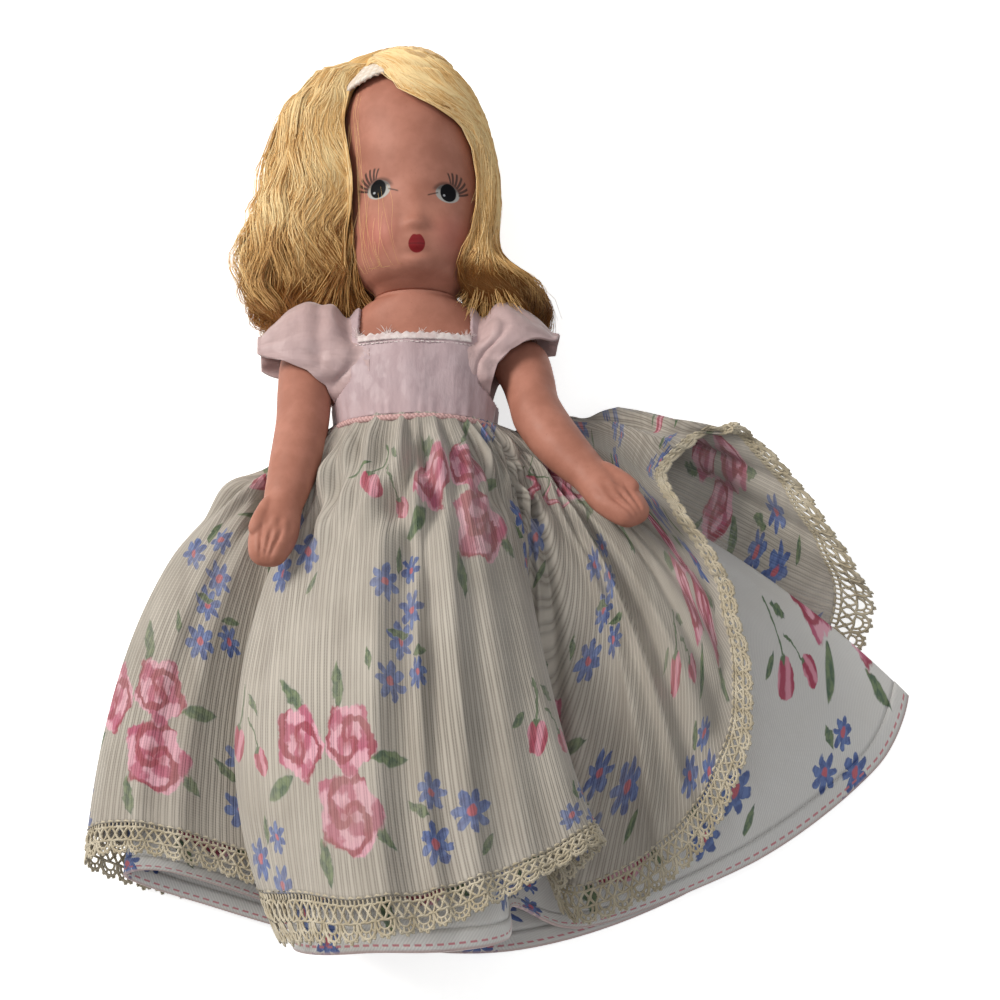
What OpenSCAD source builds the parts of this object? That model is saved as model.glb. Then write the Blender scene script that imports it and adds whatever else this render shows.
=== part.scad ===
// Costume doll lying on its back with its skirts spread: a strung body with turning head, arms and
// legs, a wavy wig, a satin bodice with cap sleeves, a petticoat and a printed overskirt with lace.
// Lengths in mm. X to the viewer's right, Y towards the head, Z up from the table.

/* [Show] */
// Piece to build

/* [Lying pose] */
// Sideways place of the body in the spread skirts
axis_side = -13.2; // [-18:0.2:-8]
// Distance from the soles to the middle of the part
sole_line = 68.2; // [64:0.2:72]
// Gap between the table and the hair at the back of the head
rest_gap = 0.4; // [0.3:0.1:0.8]

/* [Body] */
// Height of the hip axis above the soles
leg_length = 51.7; // [49:0.1:54]
// Distance from the hip axis up to the shoulder axis
back_length = 37.5; // [35:0.5:40]
// Distance from the shoulder axis up to the neck seam
neck_rise = 11; // [10.5:0.1:12]
// Running clearance of all round joints, on the radius
running_fit = 0.06; // [0.02:0.01:0.1]
// Clearance behind the end of a boss or spigot
end_gap = 0.3; // [0.3:0.1:0.6]

/* [Head] */
// Height of the head above the neck seam
head_height = 37.7; // [36.7:0.1:38.7]
// Half width of the head
head_half = 10.9; // [10.4:0.1:11.4]
// Depth of the head behind its axis
head_back = 11.8; // [11:0.1:12.4]
// Height of the nose's tip above the neck seam
nose_rise = 8.8; // [8:0.1:9.6]
// How far the nose stands out of the face
nose_depth = 1.6; // [0.8:0.1:2]
// Height of the eyes above the neck seam
eye_rise = 14.6; // [14:0.2:15.4]
// Distance of an eye from the middle of the face
eye_side = 5.4; // [4.8:0.1:6]
// Radius of the neck spigot
spigot_r = 3.84; // [3:0.02:4.5]
// Length of the neck spigot below the seam
spigot_length = 5.2; // [4:0.2:5.6]

/* [Arms] */
// Length of an arm from the shoulder axis to the fingertips
arm_length = 35; // [33:0.5:36]
// Half width of an upper arm
arm_half = 4.4; // [4:0.1:4.5]
// Outward lean of the viewer's left arm
splay_left = 10; // [8:1:12]
// Outward lean of the viewer's right arm
splay_right = 32; // [31:1:36]
// Forward lift of the viewer's left arm at rest
lift_left = 18; // [17:1:24]
// Forward lift of the viewer's right arm at rest
lift_right = 25; // [24:1:30]
// Radius of the shoulder boss
arm_boss_r = 2.4; // [2:0.1:3]
// How far the shoulder boss enters the body
arm_boss_depth = 1.3; // [0.8:0.1:2]
// Gap between the upper arm and the shoulder socket
shoulder_gap = 1.5; // [1.2:0.1:2]
// Flat of the shoulder socket, from the body's middle
arm_socket_flat = 10.9; // [10.6:0.1:11.2]
// Radius of the shoulder socket
arm_socket_r = 7.8; // [7.6:0.1:8]

/* [Legs] */
// Half width of a thigh
thigh_half = 4.2; // [3.8:0.1:4.3]
// Radius of the hip boss
leg_boss_r = 2.6; // [2:0.1:3.2]
// How far the hip boss enters the body
leg_boss_depth = 1.1; // [0.8:0.1:1.6]
// Gap between a thigh and the hip socket
hip_gap = 0.3; // [0.3:0.05:0.5]
// Flat of the hip socket, from the body's middle
leg_socket_flat = 4.4; // [4:0.1:4.6]
// Radius of the hip socket
leg_socket_r = 7; // [6.8:0.1:8]
// How far the moulded shoe stands out of the leg
shoe_step = 0.25; // [0.1:0.05:0.4]

/* [Stringing] */
// Radius of the elastic cord
cord_r = 0.7; // [0.4:0.1:1]
// Gap round a cord in a limb and round a knot in its pocket
cord_gap = 0.35; // [0.3:0.05:0.5]
// Gap round a cord in the body
body_way_gap = 0.7; // [0.4:0.1:1]
// Radius of a limb's knot
knot_r = 1.5; // [1.2:0.1:1.6]
// Depth of a knot's seat past the middle of an arm
arm_seat = 0.8; // [0.4:0.1:1]
// Depth of a knot's seat past the middle of a leg
leg_seat = 1.8; // [1.4:0.1:2]
// Radius of the knot under the neck
neck_knot_r = 1.1; // [0.9:0.1:1.3]
// How far the neck cord enters the head
neck_cord_rise = 4; // [3:0.5:6]

/* [Bodice] */
// Distance from the shoulder axis down to the waist seam
bodice_length = 10.5; // [9:0.5:12]
// Distance of the bodice's top below the neck seam
bodice_drop = 2.3; // [1.8:0.1:3]
// Distance of the square neckline below the neck seam
neckline_drop = 8; // [7.5:0.1:8.5]
// Half width of the square neckline
neckline_half = 8.6; // [7:0.1:9]
// Cloth thickness of bodice and underwear
cloth_t = 0.6; // [0.4:0.1:0.8]
// Gap between the body and the clothes
dress_gap = 0.3; // [0.2:0.05:0.4]
// Height of the neck binding
binding_height = 0.8; // [0.5:0.1:1.2]
// Thickness of the neck binding
binding_t = 0.4; // [0.3:0.1:0.6]
// Gap between a sleeve and the edge of its armhole
armhole_gap = 0.5; // [0.3:0.1:0.8]
// Outer radius of a sleeve where it meets the armhole
sleeve_r = 7.4; // [7.2:0.1:7.5]
// Outer radius of a sleeve at its tip
sleeve_edge_r = 4.2; // [3.5:0.1:5]
// Straight length of a sleeve before it narrows
sleeve_straight = 3; // [2:0.5:4]
// Reach of a sleeve past the middle of the arm
sleeve_reach = 7.7; // [6:0.1:9]
// Slant cut of the viewer's left sleeve, out from the middle of the arm
sleeve_cut_left = 3; // [1:0.1:3.5]
// Slant cut of the viewer's right sleeve, out from the middle of the arm
sleeve_cut_right = 1.2; // [1:0.1:3.5]
// Height of the waist piping
piping_height = 1; // [0.6:0.1:1.4]
// Radius of the back button
button_r = 2; // [1.5:0.1:3]
// Thickness of the back button
button_t = 0.8; // [0.5:0.1:1.2]
// Distance of the back button below the shoulder axis
button_drop = 3; // [2:0.5:5]

/* [Skirts] */
// Width of the spread skirts
skirt_width = 128; // [124:1:132]
// Length of the skirts from the waist seam to the front hem
skirt_length = 84; // [82:0.5:86]
// Cloth thickness of the skirts
skirt_t = 0.7; // [0.4:0.1:0.8]
// Gap between the body and the petticoat's gathers
petticoat_gap = 0.5; // [0.4:0.1:0.6]
// Distance of the petticoat's top below the waist piping
petticoat_drop = 2.2; // [2:0.2:3]
// Gap between the petticoat's gathers and the overskirt's
overskirt_gap = 0.9; // [0.8:0.1:1.2]
// Distance of the overskirt's top below the waist piping
overskirt_drop = 0.7; // [0.5:0.1:1]
// Share of the overskirt's length taken by the lace
lace_share = 0.07; // [0.04:0.01:0.12]
// Share of the petticoat's length taken by the hem
hem_share = 0.04; // [0.02:0.01:0.08]

/* [Wig] */
// Thickness of the wig's cloth cap
cap_t = 0.5; // [0.3:0.1:0.7]
// Gap between the head and the cap
cap_gap = 0.6; // [0.5:0.05:0.7]
// Gap between the cap and the hair
hair_gap = 0.5; // [0.3:0.05:0.6]
// Depth of the hair at the back of the head
hair_depth = 2.2; // [1.6:0.1:3]
// Width of the parting tape
tape_width = 2.8; // [2:0.2:3]
// Thickness of the parting tape
tape_t = 0.6; // [0.4:0.1:0.8]

/* [Hidden] */
$fn = 48;
TORSO_SIDES = 24;
LIMB_SIDES = 16;
CLOTH_SIDES = 32;
CAP_SIDES = 28;
CAP_ROWS = 7;
STRIP_SIDES = 12;
SKIRT_ROWS = 8;
COLS_PER_STATION = 3;
TRIM_GAP = 0.1;
TRIM_SHARE = 0.004;
CUT = 60;
EPS = 0.01;

// Heights above the soles and distances from the body's middle that follow from the sizes.
hip_z = leg_length;
shoulder_z = hip_z + back_length;
seam_z = shoulder_z + neck_rise;
waist_z = shoulder_z - bodice_length;
neckline_z = seam_z - neckline_drop;
head_top_z = seam_z + head_height;
bodice_top_z = seam_z - bodice_drop;
shoulder_side = arm_socket_flat + shoulder_gap + arm_half;
leg_side = leg_socket_flat + hip_gap + thigh_half;
cord_way_r = cord_r + cord_gap;
body_way_r = cord_r + body_way_gap;
pocket_r = knot_r + cord_gap;
wig_gap = cap_gap + cap_t + hair_gap;
axis_height = head_back + wig_gap + hair_depth + rest_gap;

// Body sections: height above the soles, half width, depth in front, depth behind.
TORSO = [
    [hip_z - 6, 2, 3, 3], [hip_z - 4, 6, 5.5, 5.5], [hip_z + 1, 10.5, 8.2, 8.2],
    [hip_z + 7, 11.6, 9, 8.6], [waist_z - 12, 11.2, 9, 8.2], [waist_z - 4, 11.2, 8.4, 7.8],
    [waist_z + 4, 12.2, 8.2, 8], [shoulder_z - 0.5, 12.7, 7.8, 7.6], [shoulder_z + 3.5, 12.3, 7, 7],
    [shoulder_z + 6, 10.8, 6.4, 6.4], [seam_z - 1.5, 8.4, 6.2, 6.2], [seam_z - 0.5, 6.8, 6.1, 6.1],
    [seam_z, 6.6, 6.1, 6.1]
];
HEAD = [
    [seam_z + 0.3, 6.3, 6, 6], [seam_z + 1.2, 6.9, 7.9, 6.4], [seam_z + 2.4, 8.4, 10, 7.3],
    [seam_z + 4.9, 9.9, 11.5, 9.5], [seam_z + 9.5, head_half - 0.2, 12.1, head_back - 0.6],
    [seam_z + 15.5, head_half, 11.7, head_back], [seam_z + 22.5, head_half, 12, head_back],
    [head_top_z - 9.2, head_half - 0.8, 11, 11], [head_top_z - 4.2, 7.5, 7.8, 8.4],
    [head_top_z - 1.2, 4.1, 4.2, 4.6], [head_top_z, 1.2, 1.2, 1.2]
];
// Steps through the head sections and angles round them, closer together on the face.
HEAD_STEPS = [each [0 : 0.5 : 1.5], each [2 : 0.25 : 4.75], each [5 : 0.5 : 10]];
HEAD_ANGLES = [each [0 : 15 : 165], each [180 : 10 : 220], each [225 : 5 : 315], each [320 : 10 : 350]];
// Face relief: distance from the middle, height above the seam, half width, half height, depth.
FACE = [
    [0, nose_rise, 1.5, 1.6, nose_depth], [0, nose_rise + 3, 1.2, 2.6, 0.4],
    [-eye_side, eye_rise, 2.9, 2.5, -0.6], [eye_side, eye_rise, 2.9, 2.5, -0.6],
    [-5.6, 7.6, 3.2, 3, 0.7], [5.6, 7.6, 3.2, 3, 0.7],
    [0, 5.9, 1.8, 1.1, 0.6], [0, 4.3, 2.2, 0.7, -0.3], [0, 2.7, 2.8, 1.4, 0.7]
];
// Limb sections: place along the limb, half width, depth in front, depth behind.
ARM = [
    [-4.3, 1, 1, 1], [-3.6, 2.6, 2.5, 2.5], [-2, arm_half - 0.4, 3.9, 3.9], [0, arm_half, 4.3, 4.3],
    [5, arm_half - 0.1, 4.2, 4.2], [11, 4.1, 4, 4], [17, 3.9, 3.8, 3.8],
    [arm_length - 13, 3.4, 3.2, 3.2], [arm_length - 10.5, 3.1, 2.8, 2.8], [arm_length - 8.5, 3.3, 2.8, 2.6],
    [arm_length - 6, 3.7, 2.7, 2.4], [arm_length - 3.5, 3.5, 2.4, 2], [arm_length - 1.2, 2.6, 1.9, 1.6],
    [arm_length - 0.2, 1.4, 1, 0.9], [arm_length, 0.5, 0.4, 0.4]
];
THUMB = [
    [-1.5, 0.6, 0.6, 0.6], [0, 1.2, 1.2, 1.2], [2.4, 1.3, 1.3, 1.3], [4.4, 1.15, 1.1, 1.1],
    [5.4, 0.75, 0.7, 0.7], [5.8, 0.25, 0.2, 0.2]
];
LEG = [
    [0, 3.1, 7, 3.3], [0.9, 3.7 + shoe_step, 8.1 + shoe_step, 4 + shoe_step],
    [3.2, 3.6 + shoe_step, 7.7 + shoe_step, 4.2 + shoe_step],
    [5.2, 3.4 + shoe_step, 6 + shoe_step, 4.1 + shoe_step], [5.3, 3.4, 6, 4.1], [8.7, 3.3, 3.9, 4],
    [12.7, 3.6, 4.1, 4.4], [18.7, 4, 4.6, 4.8], [28.7, 3.9, 4.6, 4.6], [hip_z - 15, 4.1, 5.2, 5.2],
    [hip_z - 6, thigh_half, 6, 6.1], [hip_z, thigh_half, 6.3, 6.3], [hip_z + 3, thigh_half - 0.1, 5.5, 5.5],
    [hip_z + 5, 3.6, 3.8, 3.8], [hip_z + 6.2, 2, 1.4, 1.4]
];
// Knickers sections as above, then how round they are: 1 for an oval, less for a squarer one.
KNICKERS_SIDE = leg_side + thigh_half + 1.3;
KNICKERS = [
    [hip_z - 8.5, KNICKERS_SIDE, 9.6, 9.2, 0.75], [hip_z - 1, KNICKERS_SIDE, 9.7, 9.3, 0.78],
    [hip_z + 5, KNICKERS_SIDE - 0.2, 9.8, 9.3, 0.86], [hip_z + 10, 13.2, 9.8, 9.2, 1],
    [hip_z + 15, 12.2, 9.7, 9, 1]
];

// Skirt folds round the waist: angle from the front, then the places a third of the way down, two
// thirds and at the hem, from the middle of the waist and up from the table.
OVERSKIRT = [
    [-180, [1.3, -17.1, 2.2], [5.4, -47.3, 0.35], [10.1, -74.7, 0.35]],
    [-148, [-13.7, -18.7, 2], [-16.5, -47.3, 0.35], [-17.7, -72.7, 0.35]],
    [-124, [-29.5, -17.1, 2], [-38.5, -42.6, 0.8], [-41, -68.5, 0.35]],
    [-108, [-36.1, -15.4, 8], [-46.8, -40.9, 8], [-50.4, -65.5, 8]],
    [-96, [-29.6, -16.9, 12], [-37.9, -42.3, 15], [-39.5, -65.6, 16]],
    [-84, [-20.8, -19.6, 9.5], [-23.2, -46.4, 8.5], [-21.6, -71.2, 8.5]],
    [-74, [-21.9, -22.8, 17.5], [-26.4, -48.9, 20], [-19.6, -79.6, 25]],
    [-58, [-17.6, -25.3, 25.5], [-18.4, -51.8, 31.5], [-14.6, -81.4, 36]],
    [-30, [-9.2, -25.8, 33], [-9.3, -54.5, 39], [-6, -82.3, 43]],
    [0, [1.3, -26.6, 35.5], [3.1, -55.1, 41], [7.5, -79.4, 44]],
    [22, [10.2, -24.6, 33.5], [15.4, -53, 38], [19.6, -72.8, 41]],
    [40, [16.2, -23.3, 27], [22, -48.9, 32], [28.6, -66.7, 34]],
    [50, [17.7, -23.4, 22], [17.4, -49.1, 18], [21.6, -71.9, 15]],
    [60, [21.2, -21.8, 22], [24.5, -49.5, 20], [26, -75.7, 13]],
    [70, [26.9, -20.5, 22], [35, -44.2, 24], [40.2, -67.3, 17]],
    [79, [31.5, -17.4, 22], [41.8, -35.2, 25], [48.9, -48.8, 20]],
    [88, [30.1, -12.3, 21], [40.5, -22.6, 24], [46.9, -27.5, 22]],
    [97, [27.1, -7.1, 19], [34.6, -11.8, 22], [40.9, -15.1, 23]],
    [108, [27.2, -0.9, 15.5], [33.3, -4.1, 17], [39.3, -5.4, 16]],
    [121, [29, 4.1, 9], [39.8, 3.1, 13], [51.4, 0.8, 14]],
    [136, [32.3, 1.1, 3.5], [48, -4.8, 5], [67.1, -17.5, 9]],
    [150, [29.1, -7.1, 1.4], [48, -20, 0.8], [70.1, -29.8, 0.8]],
    [166, [16.4, -15.4, 1.6], [32, -39.3, 0.35], [47.3, -63, 0.35]]
];
PETTICOAT = [
    [-180, [2.2, -17.5, 3.6], [7, -49.2, 2], [16.3, -78.5, 1.9]],
    [-148, [-11.2, -19.1, 3.6], [-11.7, -49.2, 2], [-10.6, -77.2, 1.9]],
    [-124, [-24.6, -20.7, 3.6], [-32, -46.1, 2.4], [-33.8, -71.1, 2]],
    [-108, [-31.4, -19.8, 6], [-41.1, -43.6, 5], [-44.3, -67.7, 5]],
    [-96, [-26.6, -20.3, 8], [-34.3, -46.4, 9], [-36.8, -67.8, 9.5]],
    [-82, [-18.2, -22, 6.5], [-20.9, -48.6, 4.4], [-20, -72.9, 4.4]],
    [-62, [-18, -26.2, 18], [-18.4, -52.6, 22], [-16.3, -82, 26]],
    [-30, [-8.7, -26.2, 28.5], [-8.1, -54.8, 33], [-4.1, -83.6, 36.5]],
    [0, [1.2, -26.9, 30.5], [3, -55.4, 35], [6, -83.6, 38]],
    [22, [8.7, -25.6, 28.5], [11.7, -54.8, 32], [14.2, -81.3, 34]],
    [40, [16, -24.5, 20], [15, -53.2, 15], [15.2, -73.3, 12]],
    [54, [19.2, -22.8, 12], [20.9, -51.4, 5.5], [24.7, -75.5, 4]],
    [66, [24.9, -22.3, 10], [33.3, -48.6, 7], [38.5, -71.4, 4]],
    [78, [31.9, -19.1, 10], [44.1, -40.9, 8], [56.4, -62.9, 4]],
    [88, [34.3, -12.4, 9], [53.6, -31.4, 8], [72.1, -49.9, 4]],
    [100, [32.1, -6.7, 6], [55.6, -20.9, 5], [76.9, -39.1, 3]],
    [125, [29, -10.9, 3.2], [50.9, -30, 2], [70.8, -49.2, 1.9]],
    [152, [17.9, -17.4, 3.4], [30.4, -46, 2], [44.1, -68.7, 1.9]]
];
// Skirt width, skirt length and height of the body's axis that the folds are drawn for.
SPREAD_WIDTH = 128;
SPREAD_LENGTH = 84;
DRAPE_AXIS = 16;

// Hair masses: height above the neck seam, start and end angle round the head (0 at the viewer's
// right, 90 behind), then the hair's depth at the start, in the middle and at the end.
HAIR_LEFT = [
    [head_height - 1, 120, 250, 2.6, 4.4, 2.6], [head_height - 3.8, 120, 240, 2.4, 6.8, 2.2],
    [head_height - 5.7, 120, 212, 2.2, 8.4, 2], [head_height - 11.2, 120, 208, 2.2, 10.4, 2],
    [20.5, 120, 208, 2.4, 12.2, 2], [13.5, 120, 210, 2.8, 13.7, 2.4], [7.5, 122, 212, 3.3, 16.1, 3],
    [2.5, 126, 210, 3.4, 16.8, 4], [-1, 132, 206, 4.2, 15, 5], [-2.9, 142, 198, 5.5, 12.6, 6]
];
HAIR_RIGHT = [
    [head_height - 1, 254, 420, 2.4, 2.4, 2.4], [head_height - 3.8, 244, 420, 2, 1.8, 2.2],
    [head_height - 5.7, 246, 420, 1.8, 1.6, 2], [head_height - 8.2, 260, 420, 1.8, 1.2, 2],
    [head_height - 11.2, 288, 420, 1.8, 1.1, 2], [22.5, 312, 420, 1.5, 1, 2.1],
    [14.5, 320, 420, 1.3, 1, 2.2], [8.5, 322, 416, 1.6, 1.3, 2.4], [3.5, 326, 410, 3, 4, 3],
    [0.5, 334, 400, 5, 7, 4], [-1.5, 342, 388, 5.5, 7, 4.5]
];
HAIR_BACK = [
    [head_height - 1, 62, 118, 2.6, 2.6, 2.6], [head_height - 5.2, 62, 118, 2.2, 2.2, 2.2],
    [head_height - 11.2, 62, 118, hair_depth, hair_depth - 0.2, hair_depth],
    [20.5, 62, 118, hair_depth, hair_depth - 0.2, hair_depth + 0.2],
    [13.5, 62, 118, hair_depth, hair_depth - 0.2, hair_depth + 0.6], [7.5, 66, 118, 2.4, 2, 3.4],
    [2.5, 70, 116, 2.6, 2, 3], [-0.5, 76, 110, 2.2, 2, 2.2]
];
// Tuft over the crown, between the hair masses.
HAIR_CROWN = [[0.8, 4, 4, 4], [1.8, 4.2, 4.2, 4], [2.8, 3.2, 3.2, 3], [3.5, 1.2, 1.2, 1.2]];
HAIR_FALL = 15.5;
HAIR_LEAST = 0.5;
// Wig cap edge above the seam at the sides, its drop at the back and rise in front, and its top.
CAP_EDGE = 17.5;
CAP_SLOPE = 10;
CAP_BROW = 3;
CAP_TOP = head_height - 1.6;
// Parting tape: height above the seam, first angle, angle across.
TAPE_RISE = head_height - 7.7;
TAPE_FROM = 217;
TAPE_ACROSS = 22.4;

// Cubic through four points at 0, 1/3, 2/3 and 1.
function through4(p, t) =
    p[0] * (-4.5 * (t - 1 / 3) * (t - 2 / 3) * (t - 1)) + p[1] * (13.5 * t * (t - 2 / 3) * (t - 1))
    + p[2] * (-13.5 * t * (t - 1 / 3) * (t - 1)) + p[3] * (4.5 * t * (t - 1 / 3) * (t - 2 / 3));

// Smooth curve between b and c with neighbours a and d.
function curve(a, b, c, d, t) =
    b + 0.5 * t * ((c - a) + t * ((2 * a - 5 * b + 4 * c - d) + t * (3 * (b - c) + d - a)));
function along(list, u) =
    let (n = len(list) - 1, i = min(floor(u), n - 1))
    curve(list[max(i - 1, 0)], list[i], list[i + 1], list[min(i + 2, n)], u - i);
function around(list, u) =
    let (n = len(list), i = floor(u))
    curve(list[(i + n - 1) % n], list[i % n], list[(i + 1) % n], list[(i + 2) % n], u - i);
function column(list, k) = [for (s = list) [s[0], s[k]]];

// Oval section of a body piece, with its front on -Y.
function steps(n) = [for (j = [0 : n - 1]) 360 * j / n];
function oval_at(s, a) = [s[1] * cos(a), (sin(a) > 0 ? s[3] : s[2]) * sin(a), s[0]];
function oval(s, n) = [for (a = steps(n)) oval_at(s, a)];
function squared(s, n) =
    [for (a = steps(n)) [s[1] * sign(cos(a)) * pow(abs(cos(a)), s[4]),
        (sin(a) > 0 ? s[3] : s[2]) * sign(sin(a)) * pow(abs(sin(a)), s[4]), s[0]]];
function oval_point(list, z, a) =
    [lookup(z, column(list, 1)) * cos(a), lookup(z, column(list, sin(a) > 0 ? 3 : 2)) * sin(a), z];

// Unit normals of a grid of points and the grid moved along them.
function grid_normal(g, i, j, loop) =
    let (m = len(g), n = len(g[0]),
        before = loop ? (j + n - 1) % n : max(j - 1, 0), after = loop ? (j + 1) % n : min(j + 1, n - 1),
        v = cross(g[i][after] - g[i][before], g[min(i + 1, m - 1)][j] - g[max(i - 1, 0)][j]))
    v / max(norm(v), EPS / 1000);
function moved(g, d, loop) =
    [for (i = [0 : len(g) - 1]) [for (j = [0 : len(g[0]) - 1]) g[i][j] + d * grid_normal(g, i, j, loop)]];

module loft(rings) {
    n = len(rings[0]);
    m = len(rings);
    sides = [for (i = [0 : m - 2], j = [0 : n - 1])
        let (a = i * n + j, b = i * n + (j + 1) % n) each [[a, a + n, b], [b, a + n, b + n]]];
    polyhedron([for (r = rings) each r],
        concat(sides, [[for (j = [0 : n - 1]) j]], [[for (j = [n - 1 : -1 : 0]) (m - 1) * n + j]]));
}

// Closed solid between two grids; loop joins the last column to the first.
module shell(outer, inner, loop = true) {
    m = len(outer);
    n = len(outer[0]);
    k = m * n;
    last = loop ? n - 1 : n - 2;
    end = (m - 1) * n;
    faces = [for (i = [0 : m - 2], j = [0 : last])
        let (a = i * n + j, b = i * n + (j + 1) % n)
        each [[a, a + n, b], [b, a + n, b + n], [k + a, k + b, k + a + n], [k + b, k + b + n, k + a + n]]];
    rims = [for (j = [0 : last])
        let (b = (j + 1) % n, e = end + j, f = end + b)
        each [[j, b, k + j], [b, k + b, k + j], [e, k + e, f], [f, k + e, k + f]]];
    sides = loop ? [] : [for (i = [0 : m - 2])
        let (a = i * n, c = a + n, d = a + n - 1, e = c + n - 1)
        each [[a, k + a, c], [c, k + a, k + c], [d, e, k + d], [e, k + e, k + d]]];
    polyhedron(concat([for (r = outer) each r], [for (r = inner) each r]), concat(faces, rims, sides));
}

module cloth(g, t, loop = true) {
    shell(moved(g, t / 2, loop), moved(g, -t / 2, loop), loop);
}

// From the upright doll, soles at zero and facing -Y, to the doll on its back.
module lay() {
    translate([axis_side, -sole_line, axis_height]) rotate([-90, 0, 0]) children();
}

module along_x(from, to, r) {
    translate([from, 0, 0]) rotate([0, 90, 0]) cylinder(h = to - from, r = r);
}

module rod(a, b, r) {
    d = b - a;
    translate(a) rotate([0, acos(d[2] / norm(d)), atan2(d[1], d[0])]) cylinder(h = norm(d), r = r);
}

module both_sides() {
    children();
    mirror([1, 0, 0]) children();
}

// Body: the limbs turn on bosses in round sockets and are held by knotted elastic cords.

module torso() {
    lay() difference() {
        loft([for (s = TORSO) oval(s, TORSO_SIDES)]);
        both_sides() {
            translate([0, 0, shoulder_z]) {
                along_x(arm_socket_flat, CUT, arm_socket_r);
                along_x(arm_socket_flat - arm_boss_depth - end_gap, CUT, arm_boss_r + running_fit);
            }
            translate([0, 0, hip_z]) {
                along_x(leg_socket_flat, CUT, leg_socket_r);
                along_x(leg_socket_flat - leg_boss_depth - end_gap, CUT, leg_boss_r + running_fit);
            }
        }
        for (z = [shoulder_z, hip_z]) translate([0, 0, z]) along_x(-CUT, CUT, body_way_r);
        translate([0, 0, seam_z - spigot_length - end_gap]) cylinder(h = CUT, r = spigot_r + running_fit);
        translate([0, 0, shoulder_z]) cylinder(h = CUT, r = neck_knot_r + body_way_gap);
    }
}

// The face is modelled into the front of the head: nose, lips, chin, cheeks and hollows for the eyes.
function bump(p, f) =
    f[4] * exp(-pow((p[0] - f[0]) / f[2], 2) - pow((p[2] - seam_z - f[1]) / f[3], 2));
function relief(p) = p[1] < 0 ? -[for (f = FACE) bump(p, f)] * [for (f = FACE) 1] : 0;

module head() {
    lay() difference() {
        union() {
            loft([for (u = HEAD_STEPS) let (s = along(HEAD, u))
                [for (a = HEAD_ANGLES) let (p = oval_at(s, a)) p + [0, relief(p), 0]]]);
            translate([0, 0, seam_z - spigot_length]) cylinder(h = spigot_length + 1, r = spigot_r);
        }
        translate([0, 0, seam_z - spigot_length - 1])
            cylinder(h = spigot_length + neck_cord_rise + end_gap + 1, r = cord_way_r);
    }
}

// Thumb along the hand's outer edge and grooves between the fingers, front and back.
module hand_cuts() {
    for (x = [-1.5, 0, 1.5], y = [-1, 1])
        rod([x, 2.75 * y, arm_length - 5], [0.55 * x, 0.9 * y, arm_length + 0.5], 0.35);
}

module thumb() {
    translate([1.9, -1.3, arm_length - 9.5]) rotate([6, 10, 0])
        loft([for (s = THUMB) oval(s, LIMB_SIDES)]);
}

module arm_form(splay, lift) {
    difference() {
        translate([0, 0, shoulder_z]) rotate([-lift, 0, 0]) {
            translate([shoulder_side, 0, 0]) rotate([0, 180 - splay, 0]) mirror([1, 0, 0]) {
                difference() {
                    loft([for (s = ARM) oval(s, LIMB_SIDES)]);
                    hand_cuts();
                }
                thumb();
            }
            along_x(arm_socket_flat - arm_boss_depth, shoulder_side, arm_boss_r);
        }
        translate([0, 0, shoulder_z]) {
            along_x(0, CUT, cord_way_r);
            along_x(shoulder_side + arm_seat, CUT, pocket_r);
        }
    }
}

module arm_right() { lay() arm_form(splay_right, lift_right); }
module arm_left() { lay() mirror([1, 0, 0]) arm_form(splay_left, lift_left); }

module leg_form() {
    difference() {
        union() {
            translate([leg_side, 0, 0]) loft([for (s = LEG) oval(s, LIMB_SIDES)]);
            translate([0, 0, hip_z]) along_x(leg_socket_flat - leg_boss_depth, leg_side, leg_boss_r);
        }
        translate([0, 0, hip_z]) {
            along_x(0, CUT, cord_way_r);
            along_x(leg_side + leg_seat, CUT, pocket_r);
        }
    }
}

module leg_right() { lay() leg_form(); }
module leg_left() { lay() mirror([1, 0, 0]) leg_form(); }

// Elastic cord on a limb axis, with a knot at each end behind its seat.
module limb_cord(z, seat) {
    knot_side = seat + TRIM_GAP + knot_r;
    lay() translate([0, 0, z]) {
        along_x(-knot_side, knot_side, cord_r);
        both_sides() translate([knot_side, 0, 0]) sphere(r = knot_r);
    }
}

module arm_cord() { limb_cord(shoulder_z, shoulder_side + arm_seat); }
module leg_cord() { limb_cord(hip_z, leg_side + leg_seat); }

module neck_cord() {
    knot_z = shoulder_z + cord_r + neck_knot_r + TRIM_GAP;
    lay() translate([0, 0, knot_z]) {
        cylinder(h = seam_z + neck_cord_rise - knot_z, r = cord_r);
        sphere(r = neck_knot_r);
    }
}

// Underwear and bodice

module knickers() {
    gusset_half = leg_socket_flat - 0.8;
    lay() union() {
        cloth([for (s = KNICKERS) squared(s, CLOTH_SIDES)], cloth_t);
        translate([-gusset_half, -KNICKERS[0][2], KNICKERS[0][0]])
            cube([2 * gusset_half, KNICKERS[0][2] + KNICKERS[0][3], cloth_t]);
    }
}

function dress_grid(heights, gap) =
    moved([for (z = heights) [for (a = steps(CLOTH_SIDES)) oval_point(TORSO, z, a)]], gap, true);

module bodice() {
    bottom_z = waist_z + piping_height / 2 + TRIM_GAP;
    lay() difference() {
        cloth(dress_grid([bottom_z, for (s = TORSO) if (s[0] > bottom_z + 1 && s[0] < bodice_top_z - EPS) s[0],
            bodice_top_z], dress_gap + cloth_t / 2), cloth_t);
        translate([-neckline_half, -CUT / 2, neckline_z]) cube([2 * neckline_half, CUT, CUT]);
        translate([0, 0, shoulder_z]) both_sides() along_x(arm_socket_flat, CUT, sleeve_r + armhole_gap);
    }
}

module neck_binding() {
    half_angle = 42;
    top = neckline_z - TRIM_GAP;
    lay() cloth(moved([for (z = [top - binding_height, top]) [for (j = [0 : STRIP_SIDES])
        oval_point(TORSO, z, 270 + half_angle * (2 * j / STRIP_SIDES - 1))]],
        dress_gap + cloth_t + TRIM_GAP + binding_t / 2, false), binding_t, false);
}

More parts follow.
